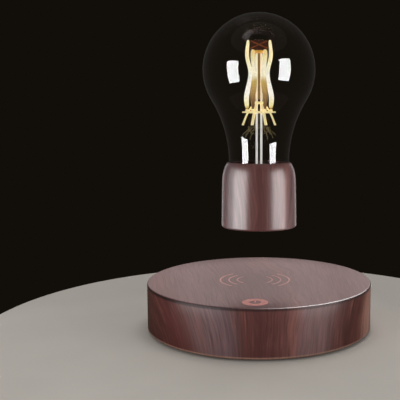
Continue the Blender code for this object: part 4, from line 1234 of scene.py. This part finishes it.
# The film glows a little, a painted light from the strands, more on its tail between them than on its
# head.
amber = Finish("amber_polyimide_painted_glow", Roughness=0.3, Emission_Strength=0.4)
amber_cloud = mottle(amber, 1.6, 3.0)
amber_z = amber.add("SeparateXYZ", (amber.in_mm,))["Z"]
head = amber.add("MapRange", (amber_z, CAP_BOTTOM + 94.2, CAP_BOTTOM + 94.8, 0.0, 1.0))[0]
amber_dark = amber.add("ValToRGB", (amber_cloud,), [(0.3, "#2a0c04"), (0.7, "#3e1608")])[0]
for socket, tail in (("Base_Color", "#6c4e24"), ("Emission_Color", "#988044")):
    tones = {0: head, 6: linear(tail), 7: amber_dark}
    amber.give(**{socket: amber.add("Mix", tones, data_type="RGBA")[2]})
amber.dress(film_sheet)

# %% [markdown]
# ## Floor, light and air
# The lamp stands on a pale round table in front of a dark room, so that the clear glass shows. Two
# softboxes in front and a panel overhead give the plain level, and show in no gloss. One light can't
# stand where the cap, the base and the glass each need its reflection, so each has its own, through
# light linking: a bright window on each side for the glass, broad bars and thin edge lines for the
# cap, a faint pair for the base's side, three small lights for the glint along its rim, and a faintly
# pink panel behind for the sheen on its lid.

# %% Floor
TABLE_RADIUS = 155
TABLE_THICKNESS = 12
floor = turned("floor", rounded([
    (0, 0), (TABLE_RADIUS, 0, 3), (TABLE_RADIUS, -TABLE_THICKNESS, 3), (0, -TABLE_THICKNESS),
]), steps=128)
table_top = Finish("pale_table", Roughness=0.6)
table_tone = mottle(table_top, 60, 3.0)
pale = table_top.add("ValToRGB", (table_tone,), [(0.3, "#b9b3ab"), (0.7, "#c0bab2")])[0]
bounces = table_top.add("LightPath")["Glossy Depth"]
mirrored = table_top.add("Math", (bounces, 1.0), operation="MINIMUM")[0]
tones = {0: mirrored, 6: pale, 7: linear("#4a4038")}
table_top.give(Base_Color=table_top.add("Mix", tones, data_type="RGBA")[2])
table_top.dress(floor)

# %% World
ROOM = (("Is Glossy Ray", "#403e3b"), ("Is Transmission Ray", "#110d08"), ("Is Camera Ray", "#120e09"))
world = bpy.data.worlds.new("dark_room")
bpy.context.scene.world = world
world.use_nodes = True
air = world.node_tree
air.nodes.clear()
rays = add_node(air, "LightPath")
soft = add_node(air, "Background", {"Color": linear("#ffffff"), "Strength": 0.3})[0]
for ray, shade in ROOM:
    wall = add_node(air, "Background", {"Color": linear(shade), "Strength": 1.0})[0]
    soft = add_node(air, "MixShader", (rays[ray], soft, wall))[0]
add_node(air, "OutputWorld", {"Surface": soft})
print("the room is dark for", len(ROOM), "kinds of ray")


# %% A soft light
def lit(name, *pieces):
    """The pieces that one light is for."""
    group = bpy.data.collections.new(name)
    for piece in pieces:
        group.objects.link(piece)
    return group


def soft_light(name, azimuth, distance, height, size, radiance, only=None, tint="#ffffff", aim=None,
               **seen_by):
    """A rectangular light that looks at the lamp. Azimuth 0 is in front, 90 is on the right."""
    lamp = bpy.data.lights.new(name, "AREA")
    lamp.shape = "RECTANGLE"
    lamp.size, lamp.size_y = size
    lamp.energy = radiance * math.pi * size[0] * size[1]
    lamp.color = linear(tint)[:3]
    light = bpy.data.objects.new(name, lamp)
    angle = math.radians(azimuth)
    light.location = (distance * math.sin(angle), -distance * math.cos(angle), height)
    target = Vector((0, 0, height if aim is None else aim))
    light.rotation_euler = (target - light.location).to_track_quat("-Z", "Y").to_euler()
    bpy.context.scene.collection.objects.link(light)
    for kind, on in seen_by.items():
        setattr(light, f"visible_{kind}", on)
    if only:
        light.light_linking.receiver_collection = only
    print(f"{name}: {size[0]} x {size[1]} m, radiance {radiance}")


base_only = lit("base_and_marks", base_shell, power_arcs, key_mark)
cap_only = lit("cap", cap_shell)
glass_only = lit("glass", bulb_glass)

# %% Lights
FAR = 0.9
matt = {"glossy": False, "transmission": False}
shine = {"diffuse": False, "transmission": False}
for side, name, glass_turn, glass_high, cap_turn, cap_glow in (
        (-1, "left", 53.5, 0.05, 61, 6.3), (1, "right", 52.5, 0.11, 63.5, 5.6)):
    soft_light(f"softbox_{name}", side * 52, FAR, 0.1, (0.5, 0.76), 5.0, **matt)
    soft_light(f"cap_shine_{name}", side * cap_turn, FAR, 0.12, (0.75, 0.8), cap_glow, cap_only, **shine)
    soft_light(f"base_shine_{name}", side * 60, FAR, 0.12, (0.8, 0.8), 1.0, base_only, **shine)
    soft_light(
        f"glass_shine_{name}", side * glass_turn, FAR, glass_high, (0.4, 0.62), 22.0,
        glass_only, **shine)
    soft_light(f"cap_edge_{name}", side * 150, FAR, 0.1, (0.12, 0.5), 1.2, cap_only, **shine)
soft_light("cap_shine_side", -96, FAR, 0.12, (0.4, 0.8), 1.5, cap_only, **shine)
soft_light("base_rim", 108, 0.5, 0.76, (0.5, 0.55), 12.0, base_only, aim=0, **shine)
soft_light("base_rim_front", 60, 0.28, 0.86, (0.45, 0.35), 9.0, base_only, aim=0, **shine)
soft_light("base_rim_back", 130, 0.7, 0.45, (0.5, 0.35), 3.6, base_only, aim=0, **shine)
soft_light("back_panel", 180, 0.8, 0.43, (1.1, 0.66), 0.58, base_only, "#ffe0de", 0.03, camera=False)
soft_light("overhead", 180, 0.15, 0.95, (0.5, 0.5), 4.0, aim=0, **matt)
